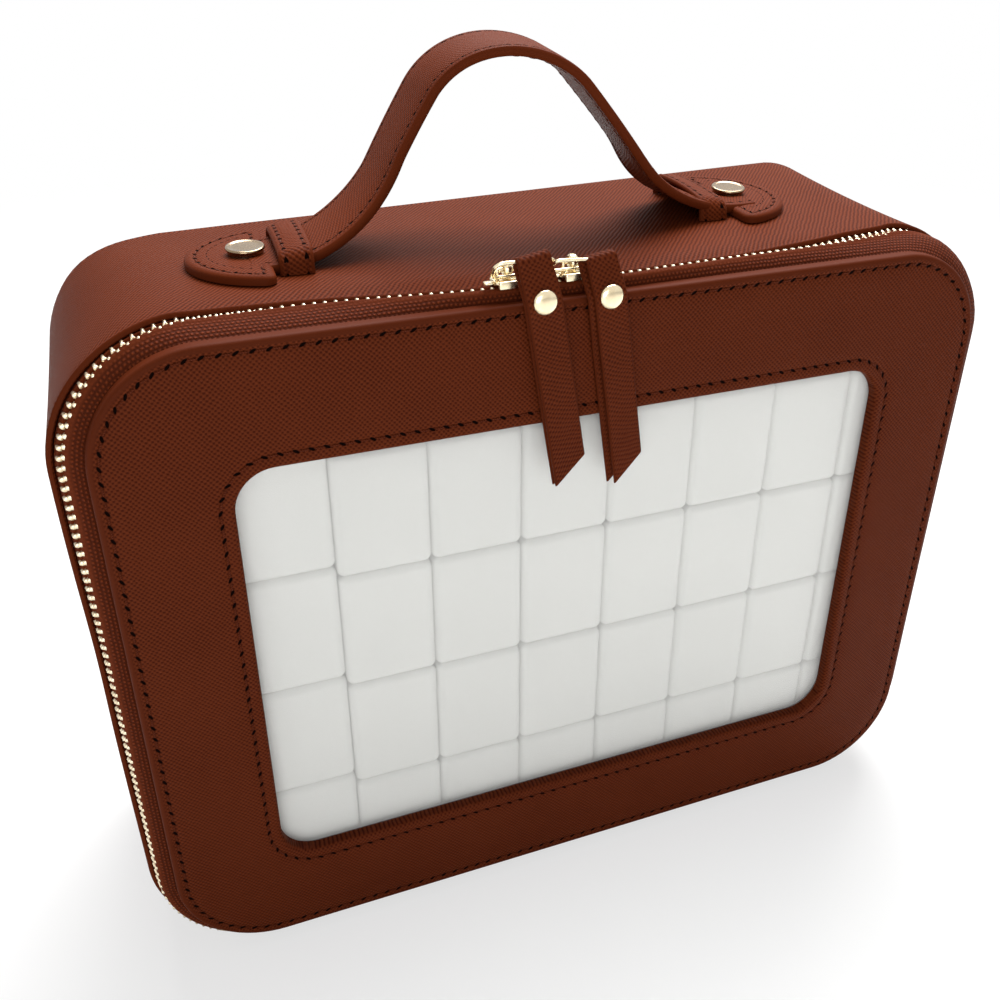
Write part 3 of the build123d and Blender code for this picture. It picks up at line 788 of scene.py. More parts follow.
front_out = np.array([-6.6, -5.0, -3.0, -2.1, -1.4, -0.8, -0.4, -0.05, 0.1])
hump_share = np.array([0, 0, 1.2, 2.2, 2.6, 2.4, 1.9, 1.1, 0.4])
front_out = front_out + hump(zip_stations(TAPE_STEP))[:, None] * hump_share
front_depth = np.array([3.33, 3.33, 3.3, 3.3, 3.4, 3.6, 3.85, 4.15, 4.5])
front_tape = tape_strip("front_tape", front_out, front_depth)
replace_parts(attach(front_tape, "lid"), "front_zip_tape")

drop = rear_row_drop(zip_stations(TAPE_STEP))[:, None]
rear_depth = np.array([14.8, 12.0, 10.0, 9.0, 8.3, 7.7, 7.2, 6.8, 6.55])
rear_out = -0.3 - drop * np.interp(rear_depth, [6.6, 10.0], [1.0, 0.35])[None]
rear_tape = tape_strip("rear_tape", rear_out, rear_depth)
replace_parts(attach(rear_tape, "shell"), "rear_zip_tape")
print("tapes:", len(front_tape.data.polygons) + len(rear_tape.data.polygons), "faces")

# %% Zip teeth
TOOTH_PITCH = 2.1


def teeth(name, from_depth, to_depth, phase, sunk, drop):
    """A row of teeth, each a rounded bar across the zip: seven sections of eight points, narrow at the
    waist and wide at the head, placed by the zip line's outward direction and its tangent. Where the
    skin hides the rear row, the teeth are set back by sunk, and lowered by drop's share of the rear
    tape's drop."""
    start, end = (zip_line.length(k) for k in ZIP_SPAN)
    count = int((end - start) / TOOTH_PITCH)
    t = zip_line.knot(start + (np.arange(count) + phase) * TOOTH_PITCH)
    x, z, nx, nz = zip_line.at(t)
    shift = zip_back(t) + sunk * hidden_row(t)
    dx, dz = swell(t, (from_depth + to_depth) / 2)
    x, z = x + dx, z + dz
    low = drop * rear_row_drop(t)
    a = np.radians([20, 70, 110, 160, 200, 250, 290, 340])
    p = np.array([0.0, 0.08, 0.35, 0.55, 0.72, 0.92, 1.0])
    wide = np.array([0.34, 0.56, 0.58, 0.44, 0.50, 0.54, 0.34])
    tall = np.array([0.72, 0.95, 1.0, 0.90, 0.86, 0.80, 0.55])
    along = wide[:, None] * np.cos(a)[None] * 1.05
    out = tall[:, None] * np.sin(a)[None] - 0.3
    depth = from_depth + (to_depth - from_depth) * p
    out = out[None] - low[:, None, None]
    px = x[:, None, None] + nx[:, None, None] * out - nz[:, None, None] * along[None]
    pz = z[:, None, None] + nz[:, None, None] * out + nx[:, None, None] * along[None]
    py = FACE_Y + depth[None, :, None] + shift[:, None, None] + 0 * px
    return solid(name, stack(px, py, pz), crease=60.0, finish=tooth_metal)


front_row = teeth("front_tooth_row", 3.9, 5.45, phase=0.25, sunk=0.55, drop=0.0)
rear_row = teeth("rear_tooth_row", 7.3, 5.75, phase=0.75, sunk=0.0, drop=1.0)
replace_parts(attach(front_row, "lid"), "front_teeth")
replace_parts(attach(rear_row, "shell"), "rear_teeth")
print("teeth:", len(front_row.data.polygons) + len(rear_row.data.polygons), "faces")

# %% [markdown]
# ## The handle
#
# The handle is a doubled leather strap with painted edges and a row of stitches along each. It lies
# flat on the tabs, leaves the keeper loops in a curve and crosses in one arc. Its middle line follows
# a heading that rises, holds, falls through the top and rises back to level, steeper on the left. It
# was sewn on a little turned, and the arc leans back and rolls as it goes. Near the loops the strap
# follows the rise of the top, less and less with height.

# %% Handle strap
HANDLE_X, HANDLE_Y, HANDLE_TURN = -4.0, 4.1, math.radians(2.8)
STRAP_W, STRAP_T, STRAP_ROW = 22.0, 2.3, 2.2
SLOPES, FOOT_R, TOP_R = np.radians([55.5, 49.6]), np.array([37.0, 38.0]), 20.9
RISE, CREST_X, LEAN, LEAN_TURN = 39.6, -4.8, math.tan(math.radians(3.5)), 0.0125
ROLL, ROLL_TURN, YAW = math.radians(3.6), math.radians(4.1) / 40, math.radians(-2.8)
OWN_TURN = math.radians(-6.8)
LEAD, LEVEL_Z, FREE_Z = (3.0, 2.0), 15.0, 18.0


def seated(points):
    """Turn points about the handle's middle, as seen from above, and raise them with the top."""
    x, y = points[..., 0] - HANDLE_X, points[..., 1] - HANDLE_Y
    c, s = math.cos(HANDLE_TURN), math.sin(HANDLE_TURN)
    px, py = HANDLE_X + x * c - y * s, HANDLE_Y + x * s + y * c
    return stack(px, py, points[..., 2] + top_rise(px, py))


def askew(points, x, back):
    """Turn points about (x, HANDLE_Y), against the handle's turn, and move them back."""
    px, py = points[..., 0] - x, points[..., 1] - HANDLE_Y
    c, s = math.cos(OWN_TURN), math.sin(OWN_TURN)
    return stack(x + px * c - py * s, HANDLE_Y + back + px * s + py * c, points[..., 2])


def arch_line(count=150):
    """Heading against distance is a chain of straight lines. x and height are the running sums of the
    heading's cosine and sine. y adds the turn, the lean, and a lean that changes from left to right.
    Above FREE_Z the strap has its own turn and roll, and below it they fade away."""
    left, right = SLOPES
    legs = (RISE - (FOOT_R + TOP_R) * (1 - np.cos(SLOPES))) / np.sin(SLOPES)
    feet = FOOT_R * SLOPES
    runs = [0, LEAD[0], feet[0], legs[0], TOP_R * left, TOP_R * right, legs[1], feet[1], LEAD[1]]
    marks = np.cumsum(runs)
    headings = [0, 0, left, left, 0, -right, -right, 0, 0]
    s = np.linspace(0, marks[-1], 8 * count)
    heading = np.interp(s, marks, headings)
    step = np.diff(s)
    mid = (heading[1:] + heading[:-1]) / 2
    x = np.concatenate([[0], np.cumsum(np.cos(mid) * step)])
    z = np.concatenate([[0], np.cumsum(np.sin(mid) * step)])
    keep = np.linspace(0, len(s) - 1, count).astype(int)
    x = (x - np.interp(marks[4], s, x) + CREST_X)[keep]
    s, z = s[keep], z[keep]
    y = HANDLE_Y + (x - HANDLE_X) * math.sin(HANDLE_TURN) + z * LEAN - LEAN_TURN * z * (x - CREST_X)
    line = stack(x, y, z + TOP + STRAP_T / 2 + top_rise(x, y) * np.clip(1 - z / LEVEL_Z, 0, 1))
    free = np.clip(z / FREE_Z, 0, 1)
    free = (free * free * (3 - 2 * free))[:, None]
    along = np.gradient(line, axis=0)
    along /= np.linalg.norm(along, axis=1, keepdims=True)
    flat = np.array([-math.sin(HANDLE_TURN), math.cos(HANDLE_TURN), 0.0])
    turned = np.array([-math.sin(YAW), math.cos(YAW), 0.0])
    across = flat * (1 - free) + turned * free
    across = across - along * (across * along).sum(1, keepdims=True)
    across /= np.linalg.norm(across, axis=1, keepdims=True)
    up = np.cross(along, across)
    roll = (ROLL + ROLL_TURN * (x - CREST_X))[:, None] * free
    return s, line, up * np.cos(roll) - across * np.sin(roll), across * np.cos(roll) + up * np.sin(roll)


FACE, EDGE = 9, 5


def strap_section(width, thickness, round_share=0.9):
    """Across and up for a strap's section: a flat face, a round edge, the other face and edge."""
    r, half = thickness / 2 * round_share, thickness / 2
    flat = np.linspace(-width / 2 + r, width / 2 - r, FACE)
    arc = np.linspace(math.pi / 2, -math.pi / 2, EDGE + 2)[1:-1]
    edge_a, edge_b = width / 2 - r + r * np.cos(arc), np.sin(arc) * thickness / 2
    across = np.concatenate([flat, edge_a, flat[::-1], -edge_a])
    up = np.concatenate([np.full(FACE, half), edge_b, np.full(FACE, -half), -edge_b])
    rim = np.concatenate([np.zeros(FACE), np.ones(EDGE)] * 2)
    return across, up, rim


def rows_across(width, row):
    """Where a strap's face needs points: at its stitch rows and close beside them."""
    near = width / 2 - row
    half = np.array([near / 2, near - 0.7, near, near + 0.7])
    return np.concatenate([-half[::-1], [0], half])


def strap(name, line, up, across_dir, width, thickness, row, lengths, finish):
    """A strap along a path: point = path + across * side + up * outward, with a channel at each row
    and an upper face that is a little crowned, by a parabola."""
    across, rise, rim = strap_section(width, thickness)
    face = rows_across(width, row)
    across[:FACE], across[FACE + EDGE : 2 * FACE + EDGE] = face, face[::-1]
    away = np.abs(across) - (width / 2 - row)
    rise = rise - np.sign(rise) * 0.16 * np.exp(-((away / 0.6) ** 2)) * (rim < 0.5)
    rise[:FACE] += 0.15 * (1 - (across[:FACE] / (width / 2)) ** 2)
    grid = line[:, None] + across[None, :, None] * across_dir[:, None]
    grid = grid + rise[None, :, None] * up[:, None]
    count = lengths * round(lengths[-1] / STITCH_PITCH) / lengths[-1]
    gap = np.abs(looped(away))
    uvs = {"skin": (lengths[:, None], looped(across)[None]), "stitch": (count[:, None], gap[None])}
    return solid(name, grid, uvs, rim[None], finish=finish)


arch_lengths, arch_middle, arch_up, arch_across = arch_line()
arch_measures = (arch_middle, arch_up, arch_across, STRAP_W, STRAP_T, STRAP_ROW, arch_lengths)
arch = strap("handle_strap_leather", *arch_measures, strap_leather)
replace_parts(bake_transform(arch), "handle_strap")
print("handle:", round(arch_lengths[-1]), "mm long,", len(arch.data.polygons), "faces")


# %% Handle stitches
def strap_stitches(name, line, up, across_dir, width, thickness, row, lengths, skip=0, faces=(1,)):
    """Two rows of threads on a strap's faces, between the needle holes of its finish."""
    count = round(lengths[-1] / STITCH_PITCH)
    first = np.arange(skip, count - skip)
    ends = []
    for offset in (0.13, 0.87):
        at = (first + offset) * lengths[-1] / count
        spot, lift, side = (
            np.stack([np.interp(at, lengths, a[:, k]) for k in range(3)], 1)
            for a in (line, up, across_dir)
        )
        pairs = [(face, sign) for face in faces for sign in (-1, 1)]
        rows = [
            spot + side * sign * (width / 2 - row) + lift * face * (thickness / 2 - 0.15)
            for face, sign in pairs
        ]
        ends.append((np.concatenate(rows), np.concatenate([lift * face for face, _ in pairs])))
    return threads(name, ends[0][0], ends[1][0], ends[0][1])


arch_threads = strap_stitches("handle_stitches", *arch_measures, skip=2, faces=(1, -1))
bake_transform(arch_threads)
print("handle stitches:", len(arch_threads.data.polygons), "faces")

# %% [markdown]
# ## Tabs and keeper loops
#
# Each end of the strap widens to a D-shaped tab, held by a stud. The tab is a stack of shrinking
# D shapes, each an arc, a straight end and two small corners. The loop is a narrow band that goes up
# one side of the strap, over it and down the other.

# %% D-shaped tabs
TAB_R, TAB_CORNER, TAB_FLAT, TAB_X, TAB_T, TAB_ROW = 20.0, 2.2, 2.4, 54.1, 2.2, 2.3
TAB_Y = {"left": 0.5, "right": 0.6}
STRAP_COVER, TAB_BOTTOM = 9.5, 0.06


def d_shape(inset):
    """A circle cut by a straight end, with round corners, as seen from above. The end is at x, the arc
    beyond it, and every point is on the same ray family whatever the inset."""
    r, flat = TAB_R - inset, TAB_FLAT + inset
    corner = max(TAB_CORNER - inset, 0.3)
    cy = math.sqrt((r - corner) ** 2 - (flat + corner) ** 2)
    turn = math.atan2(cy, flat + corner)
    end = np.stack([np.full(8, flat), np.linspace(-cy, cy, 8)], 1)
    arcs = []
    for x, y, radius, angle in (
        (flat + corner, cy, corner, np.linspace(math.pi, turn, 8)[1:]),
        (0.0, 0.0, r, np.linspace(turn, -turn, 44)[1:]),
        (flat + corner, -cy, corner, np.linspace(-turn, -math.pi, 8)[1:-1]),
    ):
        arcs.append(np.stack([x + radius * np.cos(angle), y + radius * np.sin(angle)], 1))
    return np.concatenate([end, *arcs])


def tab_place(word, points):
    """Turn a tab's points with the handle and back by its own turn, and seat them on the top."""
    return seated(askew(points, HANDLE_X + SIDES[word] * TAB_X, TAB_Y[word]))


def tab_row():
    """The row of stitches: its points, closed, the distance along them and the number of stitches."""
    row = looped(d_shape(TAB_ROW))
    length = np.concatenate([[0], np.cumsum(np.linalg.norm(np.diff(row, axis=0), axis=1))])
    return row, length, round(length[-1] / STITCH_PITCH)


def tab(word):
    """Rows from the middle of the underside out to the edge, round it, and in over the top. Under the
    strap there are no stitches."""
    insets = [4.0, 0.5, 0.0, 0.0, 0.12, 0.42, 0.85, 1.6, 2.0, TAB_ROW, 2.6, 3.0, 4.2]
    heights = [TAB_BOTTOM] * 4 + [0.3, 1.3, 1.7, 2.0, 2.18, 2.2, 2.1, 2.0, 2.1, 2.2, 2.25, 2.3, 2.3]
    heights = np.array(heights)[:, None]
    rings = np.stack([d_shape(i) for i in insets])
    middle = np.array([9.0, 0.0])
    shrink = np.array([0.02, 0.5])[:, None, None]
    under, over = (middle + (ring - middle) * shrink for ring in (rings[:1], rings[-1:]))
    rings = np.concatenate([under, rings, over[::-1]])
    x = rings[..., 0] * SIDES[word] + HANDLE_X + SIDES[word] * TAB_X
    y = rings[..., 1] + HANDLE_Y
    row, length, count = tab_row()
    covered = (np.abs(row[:, 1]) < STRAP_COVER) & (row[:, 0] < 5.0)
    away = np.array([NO_STITCH] * 5 + [TAB_ROW - i for i in insets[3:]] + [NO_STITCH] * 2)[:, None]
    away = np.where(covered[None], NO_STITCH, away)
    rim = np.concatenate([np.zeros(4), np.ones(4), [0.6], np.zeros(8)])[:, None]
    skin = [np.concatenate([a, a[:, :1]], 1) for a in (x, y)]
    skin[1] = skin[1] - heights * 0.6
    uvs = {"skin": skin, "stitch": (length[None] * count / length[-1], away)}
    grid = tab_place(word, stack(x, y, TOP + heights))
    return solid(f"tab_{word}", grid, uvs, rim, finish=strap_leather)


def tab_stitches(word):
    """Threads along the tab's row, where the strap doesn't cover it."""
    row, length, count = tab_row()
    at = (np.arange(count)[:, None] + np.array([[0.13, 0.87]])) * length[-1] / count
    px, py = (np.interp(at, length, row[:, k]) for k in (0, 1))
    shown = ~((np.abs(py).max(1) < STRAP_COVER + 1) & (px.min(1) < 5.5))
    x = px[shown] * SIDES[word] + HANDLE_X + SIDES[word] * TAB_X
    ends = tab_place(word, stack(x, py[shown] + HANDLE_Y, TOP + 2.0))
    upright = np.tile([[0.0, 0.0, 1.0]], (shown.sum(), 1))
    return threads(f"tab_stitches_{word}", ends[:, 0], ends[:, 1], upright)


for word in SIDES:
    made, sewn = tab(word), tab_stitches(word)
    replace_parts(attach(made, "shell"), f"handle_tab_{word}")
    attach(sewn, "shell")
    print(made.name, len(made.data.polygons), "faces")


# %% Keeper loops
LOOP_X, LOOP_W, LOOP_T, LOOP_ROW = {"left": 51.6, "right": 50.6}, 7.3, 1.5, 1.5
LOOP_SLOPE, LOOP_BACK, LOOP_FOOT = 0.18, 1.2, 0.05


def loop_line():
    """The band's middle line in the YZ plane: up, round a corner, across with a slight crown, down."""
    half, height, corner = 13.3, 4.3, 3.0
    arc = np.linspace(0, math.pi / 2, 9)
    left_y = -half + corner - corner * np.cos(arc)
    left_z = height - corner + corner * np.sin(arc)
    top_y = np.linspace(-half + corner, half - corner, 16)[1:-1]
    top_z = height + 0.45 * (1 - (top_y / (half - corner)) ** 2)
    y = np.concatenate([[-half - 0.2], left_y, top_y, -left_y[::-1], [half + 0.2]])
    z = np.concatenate([[LOOP_FOOT], left_z, top_z, left_z[::-1], [LOOP_FOOT]])
    ty, tz = np.gradient(y), np.gradient(z)
    size = np.hypot(ty, tz)
    length = np.concatenate([[0], np.cumsum(np.hypot(np.diff(y), np.diff(z)))])
    return y, z, -tz / size, ty / size, length


for word, side in SIDES.items():
    y, z, ny, nz, length = loop_line()
    middle = HANDLE_X + side * LOOP_X[word]
    where = seated(askew(stack(np.full_like(y, middle), y + HANDLE_Y, z + TOP), middle, LOOP_BACK))
    c, s = math.cos(HANDLE_TURN + OWN_TURN), math.sin(HANDLE_TURN + OWN_TURN)
    up = stack(-ny * s, ny * c, nz)
    across = stack(np.full_like(z, -c), -s, side * LOOP_SLOPE * z / z.max())
    measures = (where, up, across, LOOP_W, LOOP_T, LOOP_ROW, length)
    band = strap(f"keeper_{word}", *measures, strap_leather)
    sewn = strap_stitches(f"keeper_stitches_{word}", *measures)
    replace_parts(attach(band, "shell"), f"keeper_loop_{word}")
    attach(sewn, "shell")
    print(band.name, len(band.data.polygons), "faces")

# %% Studs
STUD_X, STUD_TILT = 61.3, math.radians(4.0)


def turned(name, radii, heights, place, finish, count=40):
    """A round piece: rings of these radii at these heights, closed at both ends. place puts points with
    the axis along z where they belong."""
    a = np.arange(count) * 2 * math.pi / count
    radii, heights = (np.array(v, float)[:, None] for v in (radii, heights))
    points = place(stack(radii * np.cos(a), radii * np.sin(a), heights + 0 * a))
    return solid(name, points, crease=50.0, finish=finish)


def on_tab(x):
    """A placer for a stud: its foot is level and its head, above 1 mm, is tilted to the front."""
    def place(points):
        side, back, rise = (points[..., k] for k in range(3))
        height = rise + TOP + TAB_T - 0.1 + back * STUD_TILT * (rise > 1)
        return seated(stack(side + x, back + HANDLE_Y, height))

    return place


for word, side in SIDES.items():
    stud = turned(
        f"stud_cap_{word}",
        [0.1, 3.85, 3.85, 3.9, 4.05, 4.15, 4.15, 4.0, 3.7, 3.5, 2.4, 1.2, 0.1],
        [0.1, 0.1, 1.05, 1.2, 1.25, 1.4, 1.75, 1.92, 1.95, 1.86, 1.86, 1.88, 1.88],
        on_tab(HANDLE_X + side * STUD_X),
        satin_gold,
    )
    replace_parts(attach(stud, "shell"), f"stud_{word}")
    print(stud.name, len(stud.data.polygons), "faces")

# %% [markdown]
# ## Sliders and rings
#
# Each slider is a plate over the teeth with a lip in front, a nose, two thin posts and a bar between
# them. The ring turns on the bar: its low side is held there by an eye, and its high side carries the
# pull. The wire is oval, and the right ring hangs askew.

# %% Plates, posts and wires
SLIDERS = {"left": -15.0, "right": -0.4}
BAR, RING_CORNER = (5.6, 168.05), 1.75
RING_FOOT, RING_HEAD = (4.3, 166.85), {"left": (1.2, 170.5), "right": (1.4, 169.1)}


def block(name, middle, size, corner, edge):
    """A plate: rounded rectangles seen from above. Towards its top and bottom they shrink by an arc."""
    arc = np.linspace(0, math.pi / 2, 4)
    inset = np.concatenate([edge - edge * np.sin(arc), (edge - edge * np.sin(arc))[::-1]])
    rise = size[2] / 2 - edge + edge * np.cos(arc)
    rise = np.concatenate([-rise, rise[::-1]])[:, None]
    x, y, _, _ = Outline(size[0], size[1], corner, 0.0).at(stations(4, 2, 4)[None], -inset[:, None])
    return solid(name, stack(x + middle[0], y + middle[1] + FACE_Y, rise + middle[2]), finish=gold)


def wire(name, path, normal, wide, thick):
    """A closed wire in a plane: round each point of the path an oval, wide in the plane and thick
    across it."""
    along = np.roll(path, -1, axis=0) - np.roll(path, 1, axis=0)
    along /= np.linalg.norm(along, axis=1, keepdims=True)
    side = np.cross(along, normal)
    a = np.arange(12)[:, None] * math.pi / 6
    grid = path[:, None] + wide * np.cos(a) * side[:, None] + thick * np.sin(a) * np.array(normal)
    return solid(name, grid, closed_path=True, finish=gold)


def ring_points(head, left, right, drop, pull_x):
    """The ring's path in its own leaning plane: a rounded rectangle, sheared so that its high side
    falls by drop per mm to the right of the pull."""
    size = math.hypot(head[0] - RING_FOOT[0], head[1] - RING_FOOT[1])
    x, v, _, _ = Outline(right - left, size, RING_CORNER, size / 2).at(stations(14, 4, 8))
    x = x + (left + right) / 2
    v = v - drop * (x - pull_x) * np.clip(v / size, 0, 1) ** 2
    share = v / size
    depth = RING_FOOT[0] + (head[0] - RING_FOOT[0]) * share
    return stack(x, FACE_Y + depth, RING_FOOT[1] + (head[1] - RING_FOOT[1]) * share)


def eye_points(x, middle, radius):
    """A circle in the YZ plane round (depth, height)."""
    a = np.arange(20) * math.pi / 10
    return stack(x + 0 * a, FACE_Y + middle[0] + radius * np.cos(a), middle[1] + radius * np.sin(a))


# %% Sliders and rings
# Each block of a slider: its name, its middle (x from the slider's, depth, z), its size, the radius of
# its corners and that of its edges.
BLOCKS = (
    ("plate", (-0.3, 5.4, 165.75), (11.6, 4.9, 0.9), 1.7, 0.3),
    ("lip", (-0.3, 3.1, 165.4), (10.0, 0.9, 1.7), 0.4, 0.25),
    ("nose", (-7.2, 4.0, 166.0), (2.2, 1.5, 0.6), 0.6, 0.2),
    ("foot", (0.0, 6.2, 162.0), (10.6, 3.4, 0.9), 1.2, 0.3),
    ("wedge", (0.0, 5.6, 164.0), (4.0, 0.4, 3.4), 0.15, 0.1),
    ("post_near", (-4.9, 5.4, 167.2), (0.75, 1.2, 2.4), 0.3, 0.2),
    ("post_far", (4.9, 5.4, 167.2), (0.75, 1.2, 2.4), 0.3, 0.2),
    ("bar", (0.0, *BAR), (10.4, 1.0, 1.0), 0.45, 0.4),
)
RINGS = {
    "left": dict(left=-6.6, right=6.2, drop=0.02, pull_x=1.2),
    "right": dict(left=-9.4, right=5.6, drop=0.20, pull_x=1.7),
}
for word, x in SLIDERS.items():
    body = f"slider_{word}"
    pieces = [
        block(f"{body}_{part}", (x + middle[0], *middle[1:]), size, corner, edge)
        for part, middle, size, corner, edge in BLOCKS
    ]
    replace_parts(pieces[0], body)
    for piece in pieces:
        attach(piece, body)
    head = RING_HEAD[word]
    lean = np.array([0.0, head[0] - RING_FOOT[0], head[1] - RING_FOOT[1]])
    normal = np.cross([1.0, 0.0, 0.0], lean / np.linalg.norm(lean))
    path = ring_points(head, **RINGS[word]) + [x, 0, 0]
    loop = wire(f"ring_{word}_wire", path, normal, 0.50, 0.40)
    eye = wire(f"ring_{word}_eye", eye_points(x - 2.6, BAR, 1.15), (1.0, 0.0, 0.0), 0.42, 0.9)
    for piece in (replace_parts(loop, f"ring_{word}"), eye):
        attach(piece, f"ring_{word}")
    print(body, sum(len(piece.data.polygons) for piece in pieces), "faces")

# %% [markdown]
# ## Pulls
#
# Each pull is one strip of leather, folded round the ring's bar and riveted to itself. Its section is
# carried from the front tip up, round the bar, and down to the rear tip. The tips are cut slantwise:
# each lengthwise line of the strip ends at its own height. The rivet's head is a low dome.

# %% Leather pulls
PULL_LAYER, FOLD_R, HALF_GAP, STRAP_Y = 0.92, 1.02, 0.49, -37.6


class Pull:
    """Measures of one pull: the ring's bar, the tilt in degrees, the strip's width, the heights of its
    bend and its tip, how far the tip's cut slants, and how far the rear layer hangs back and aside."""

    def __init__(self, bar, tilt, width, bend_z, tip_z, slant, spread, aside):
        self.bar_x, self.bar_y, self.bar_z = bar
        self.tilt, self.width, self.spread, self.aside = math.radians(tilt), width, spread, aside
        self.bend_z, self.tip_z, self.slant = bend_z, tip_z, slant

    def line(self):
        """y and z of the strip's middle line: straight up, a soft bend at the rivet, a half circle
        round the bar, and down again. Below the rivet the rear layer hangs back by the spread."""
        f = np.linspace(0, 1, 26)
        bend, bar = self.bend_z, self.bar_z
        rise = np.concatenate([self.tip_z + (bend - self.tip_z) * f, bend + (bar - bend) * f[1:]])
        share = np.clip((rise - bend) / (bar - bend), 0, 1)
        share = share * share * (3 - 2 * share) * 0.35 + share * 0.65
        middle = STRAP_Y + (self.bar_y - STRAP_Y) * share
        opened = np.clip((rise - bend - 1) / (bar - bend - 1), 0, 1) ** 1.2
        gap = HALF_GAP + (FOLD_R - HALF_GAP) * opened
        back = self.spread * np.clip((bend - 1.5 - rise) / 12, 0, 1)
        arc = np.linspace(math.pi, 0, 15)[1:-1]
        rear = (middle + gap + back)[::-1]
        y = np.concatenate([middle - gap, self.bar_y + FOLD_R * np.cos(arc), rear])
        z = np.concatenate([rise, bar + FOLD_R * np.sin(arc), rise[::-1]])
        return y, z

    def hung(self, points):
        """Turn points about the bar's middle, front to back, so that the foot swings to the right."""
        c, s = math.cos(self.tilt), math.sin(self.tilt)
        x, z = points[..., 0], points[..., 2] - self.bar_z
        return stack(self.bar_x + x * c - z * s, points[..., 1], self.bar_z + x * s + z * c)

    def strip(self, name):
        """The strip's grid. The straight part of both layers is stretched or shortened line by line so
        that the tip's cut slants. The strip is a little narrower where it is folded, and the rear
        layer lies aside of the front one."""
        y, z = self.line()
        across, rise, rim = strap_section(self.width, PULL_LAYER, 0.95)
        ty, tz = np.gradient(y), np.gradient(z)
        size = np.hypot(ty, tz)
        py = y[:, None] - (tz / size)[:, None] * rise[None]
        pz = z[:, None] + (ty / size)[:, None] * rise[None]
        cut = self.tip_z + self.slant * (across[None] / self.width + 0.5)
        below = (self.bend_z - pz) * (self.bend_z - cut) / (self.bend_z - self.tip_z)
        pz = np.where(pz < self.bend_z, self.bend_z - below, pz)
        length = np.concatenate([[0], np.cumsum(np.hypot(np.diff(y), np.diff(z)))])
        folded = np.clip((z - self.bend_z - 2) / (self.bar_z - self.bend_z - 2), 0, 1)[:, None]
        narrow = 1 - 0.06 * folded
        rear = np.clip((np.arange(len(z)) - len(z) / 2) / 12 + 0.5, 0, 1)[:, None]
        px = across[None] * narrow - self.aside * rear
        uvs = {"skin": (length[:, None], looped(across)[None])}
        return solid(name, self.hung(stack(px, py, pz)), uvs, rim[None], finish=pull_leather)

    def on_front(self, points):
        """Put points with the axis along z on the front layer, at the bend, facing out."""
        front = STRAP_Y - HALF_GAP - PULL_LAYER / 2
        return self.hung(stack(points[..., 0], front - points[..., 2], self.bend_z + points[..., 1]))


PULLS = {
    "left": Pull(
        (-13.8, -34.8, 170.5), tilt=9.9, width=7.9, bend_z=162.65, tip_z=119.9, slant=5.8, spread=0.15,
        aside=0.25,
    ),
    "right": Pull(
        (1.3, -34.6, 169.1), tilt=8.9, width=7.4, bend_z=162.1, tip_z=117.9, slant=6.1, spread=0.6,
        aside=1.1,
    ),
}
DOME = np.linspace(1.0, 0.03, 10) * math.pi / 2
for word, one in PULLS.items():
    made = one.strip(f"pull_{word}_leather")
    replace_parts(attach(made, f"pull_{word}"), f"pull_strap_{word}")
    radii, heights = [0.1, 2.6, *(2.65 * np.sin(DOME))], [-0.35, -0.35, *(np.cos(DOME) ** 0.8)]
    cap = turned(f"rivet_{word}", radii, heights, one.on_front, gold, 32)
    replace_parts(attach(cap, f"pull_{word}"), f"pull_rivet_{word}")
    print(made.name, len(made.data.polygons), "faces")

# %% [markdown]
# ## The hinge
#
# Along the bottom a strip of leather joins the lid to the shell.

# %% Hinge strip
def hinge():
    """A flat strip along X: its section from front to back, raised and lowered by a small cosine."""
    x = np.linspace(-77.9, 77.9, 90)
    across, rise, rim = strap_section(9.8, 0.76, 0.9)
    y = FACE_Y + 9.45 + across[None] + 0 * x[:, None]
    z = 1.85 + rise[None] - 0.06 * np.cos(x[:, None] / 9.0)
    uvs = {"skin": (x[:, None], looped(across)[None])}
    return solid("hinge_leather", stack(x[:, None], y, z), uvs, rim[None], finish=skin_leather)


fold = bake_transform(hinge())
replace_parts(fold, "hinge_strip")
print("hinge:", len(fold.data.polygons), "faces")

# %% [markdown]
# ## Floor, light and camera
#
# The floor is plain and pale and keeps the shadow. The world is plain white to the camera and in
# reflections, and gives a quieter light to matt surfaces. A wide lamp above and behind lights the top,
# and a weaker one at the front fills in.

# %% Floor
def floor_finish():
    """Pale paper: the camera sees it partly as plain white, so that only the shadow shows."""
    f = Finish("pale_floor")
    grain = f.noise(f.place(), 6.0)
    colour = f.mixed(grain, (0.90, 0.90, 0.895), (0.93, 0.93, 0.925))
    lit = f.node("BsdfDiffuse", None, {"Color": colour})
    plain = f.node("Emission", None, {"Color": (1, 1, 1, 1), "Strength": 1.0})
    rays = f.node("LightPath", None, None, "Is Camera Ray")
    x, y = (f.node("SeparateXYZ", None, {0: f.place()}, k) for k in (0, 1))
    far = (x * x + y * y).maths("SQRT").between(0.2, 0.9)
    f.node_output(f.node("MixShader", None, {0: rays * (far * 0.34 + 0.66), 1: lit, 2: plain}))
    return f.material


bpy.ops.mesh.primitive_plane_add(size=12.0, location=(0, 0, -0.0001))
floor = bpy.context.active_object
floor.name = "floor"
floor.data.materials.append(floor_finish())
print("floor", floor.dimensions.x, "m wide")


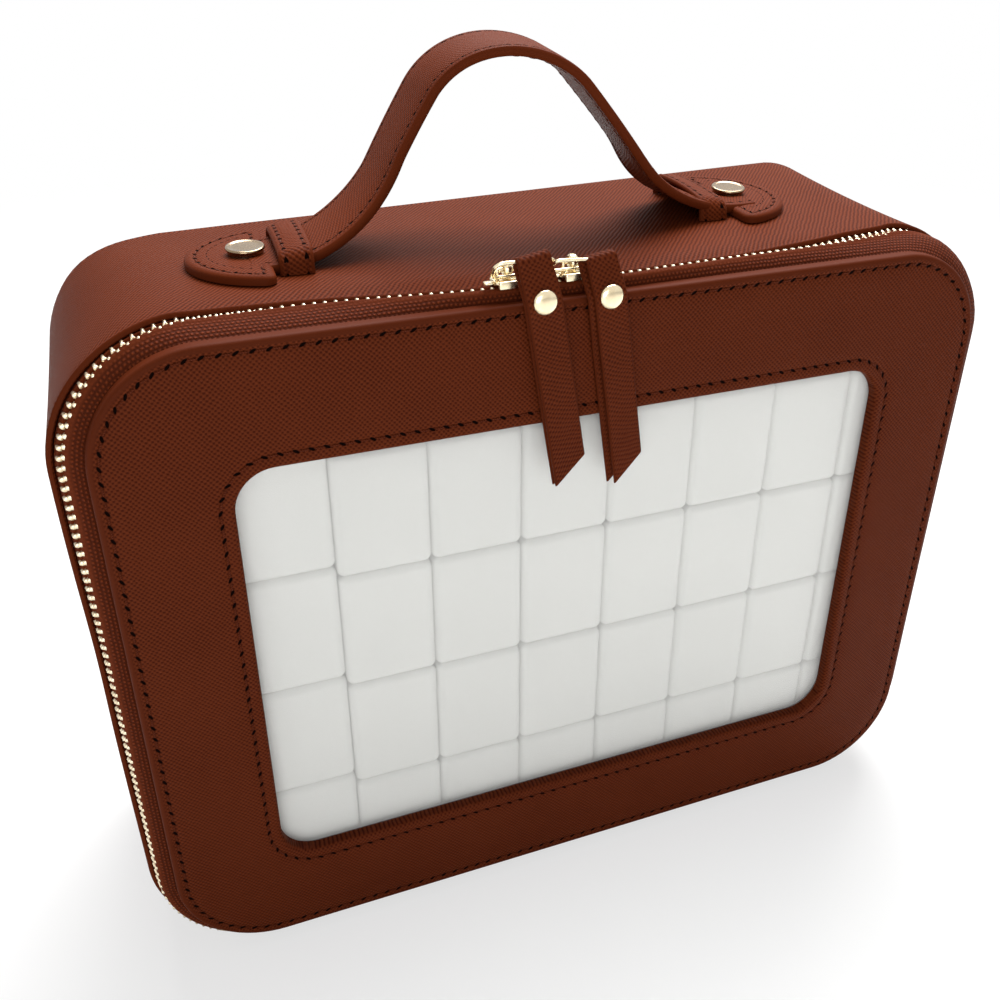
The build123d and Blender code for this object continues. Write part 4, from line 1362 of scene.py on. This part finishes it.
# %% World
def world_light(strength, seen):
    """A plain world: one strength for matt surfaces, another where it is seen or reflected."""
    world = bpy.data.worlds.new("studio")
    bpy.context.scene.world = world
    world.use_nodes = True
    tree = world.node_tree
    tree.nodes.clear()
    ray = tree.nodes.new("ShaderNodeLightPath")
    quiet, bright = (tree.nodes.new("ShaderNodeBackground") for _ in range(2))
    quiet.inputs["Strength"].default_value = strength
    bright.inputs["Strength"].default_value = seen
    for node in (quiet, bright):
        node.inputs["Color"].default_value = (1, 1, 1, 1)
    total, more = (tree.nodes.new("ShaderNodeMath") for _ in range(2))
    for node in (total, more):
        node.operation, node.use_clamp = "ADD", True
    mix, end = tree.nodes.new("ShaderNodeMixShader"), tree.nodes.new("ShaderNodeOutputWorld")
    for source, target in (
        (ray.outputs["Is Camera Ray"], total.inputs[0]),
        (ray.outputs["Is Glossy Ray"], total.inputs[1]),
        (total.outputs[0], more.inputs[0]),
        (ray.outputs["Is Transmission Ray"], more.inputs[1]),
        (more.outputs[0], mix.inputs[0]),
        (quiet.outputs[0], mix.inputs[1]),
        (bright.outputs[0], mix.inputs[2]),
        (mix.outputs[0], end.inputs["Surface"]),
    ):
        tree.links.new(source, target)


world_light(0.36, 1.0)
print("world ready")


# %% Lamps
def framed(right, up, back, place):
    """The matrix of an object with these axes at a place."""
    rows = [[right[k], up[k], back[k], place[k]] for k in range(3)]
    return Matrix(rows + [[0, 0, 0, 1]])


def lamp(name, place, target, size, power):
    """A soft square lamp that faces a target."""
    data = bpy.data.lights.new(name, "AREA")
    data.size, data.energy = size, power
    made = bpy.data.objects.new(name, data)
    bpy.context.scene.collection.objects.link(made)
    back = np.array(place) - np.array(target)
    back = back / np.linalg.norm(back)
    right = np.cross([0, 0, 1], back)
    right /= np.linalg.norm(right)
    up = np.cross(back, right)
    made.matrix_world = framed(right, up, back, place)


lamp("top_lamp", (0.30, 0.50, 1.1), (0, 0, 0.1), 0.9, 34.0)
lamp("front_lamp", (-0.5, -1.3, 0.22), (0, 0, 0.05), 0.9, 8.5)

# %% Camera
RIGHT = (0.93364441, -0.35818857, -0.0030122)
UP = (0.17672851, 0.45330856, 0.87365805)
BACK = (-0.31156887, -0.81621829, 0.48653113)
EYE = (-0.09366, -0.22531, 0.23073)
camera_data = bpy.data.cameras.new("camera")
camera_data.lens, camera_data.sensor_width = 37.78, 36.0
camera_data.clip_start, camera_data.clip_end = 0.01, 50.0
camera = bpy.data.objects.new("camera", camera_data)
bpy.context.scene.collection.objects.link(camera)
camera.matrix_world = framed(RIGHT, UP, BACK, EYE)
bpy.context.scene.camera = camera
bpy.context.scene.view_settings.view_transform = "Standard"
print("camera at", EYE)
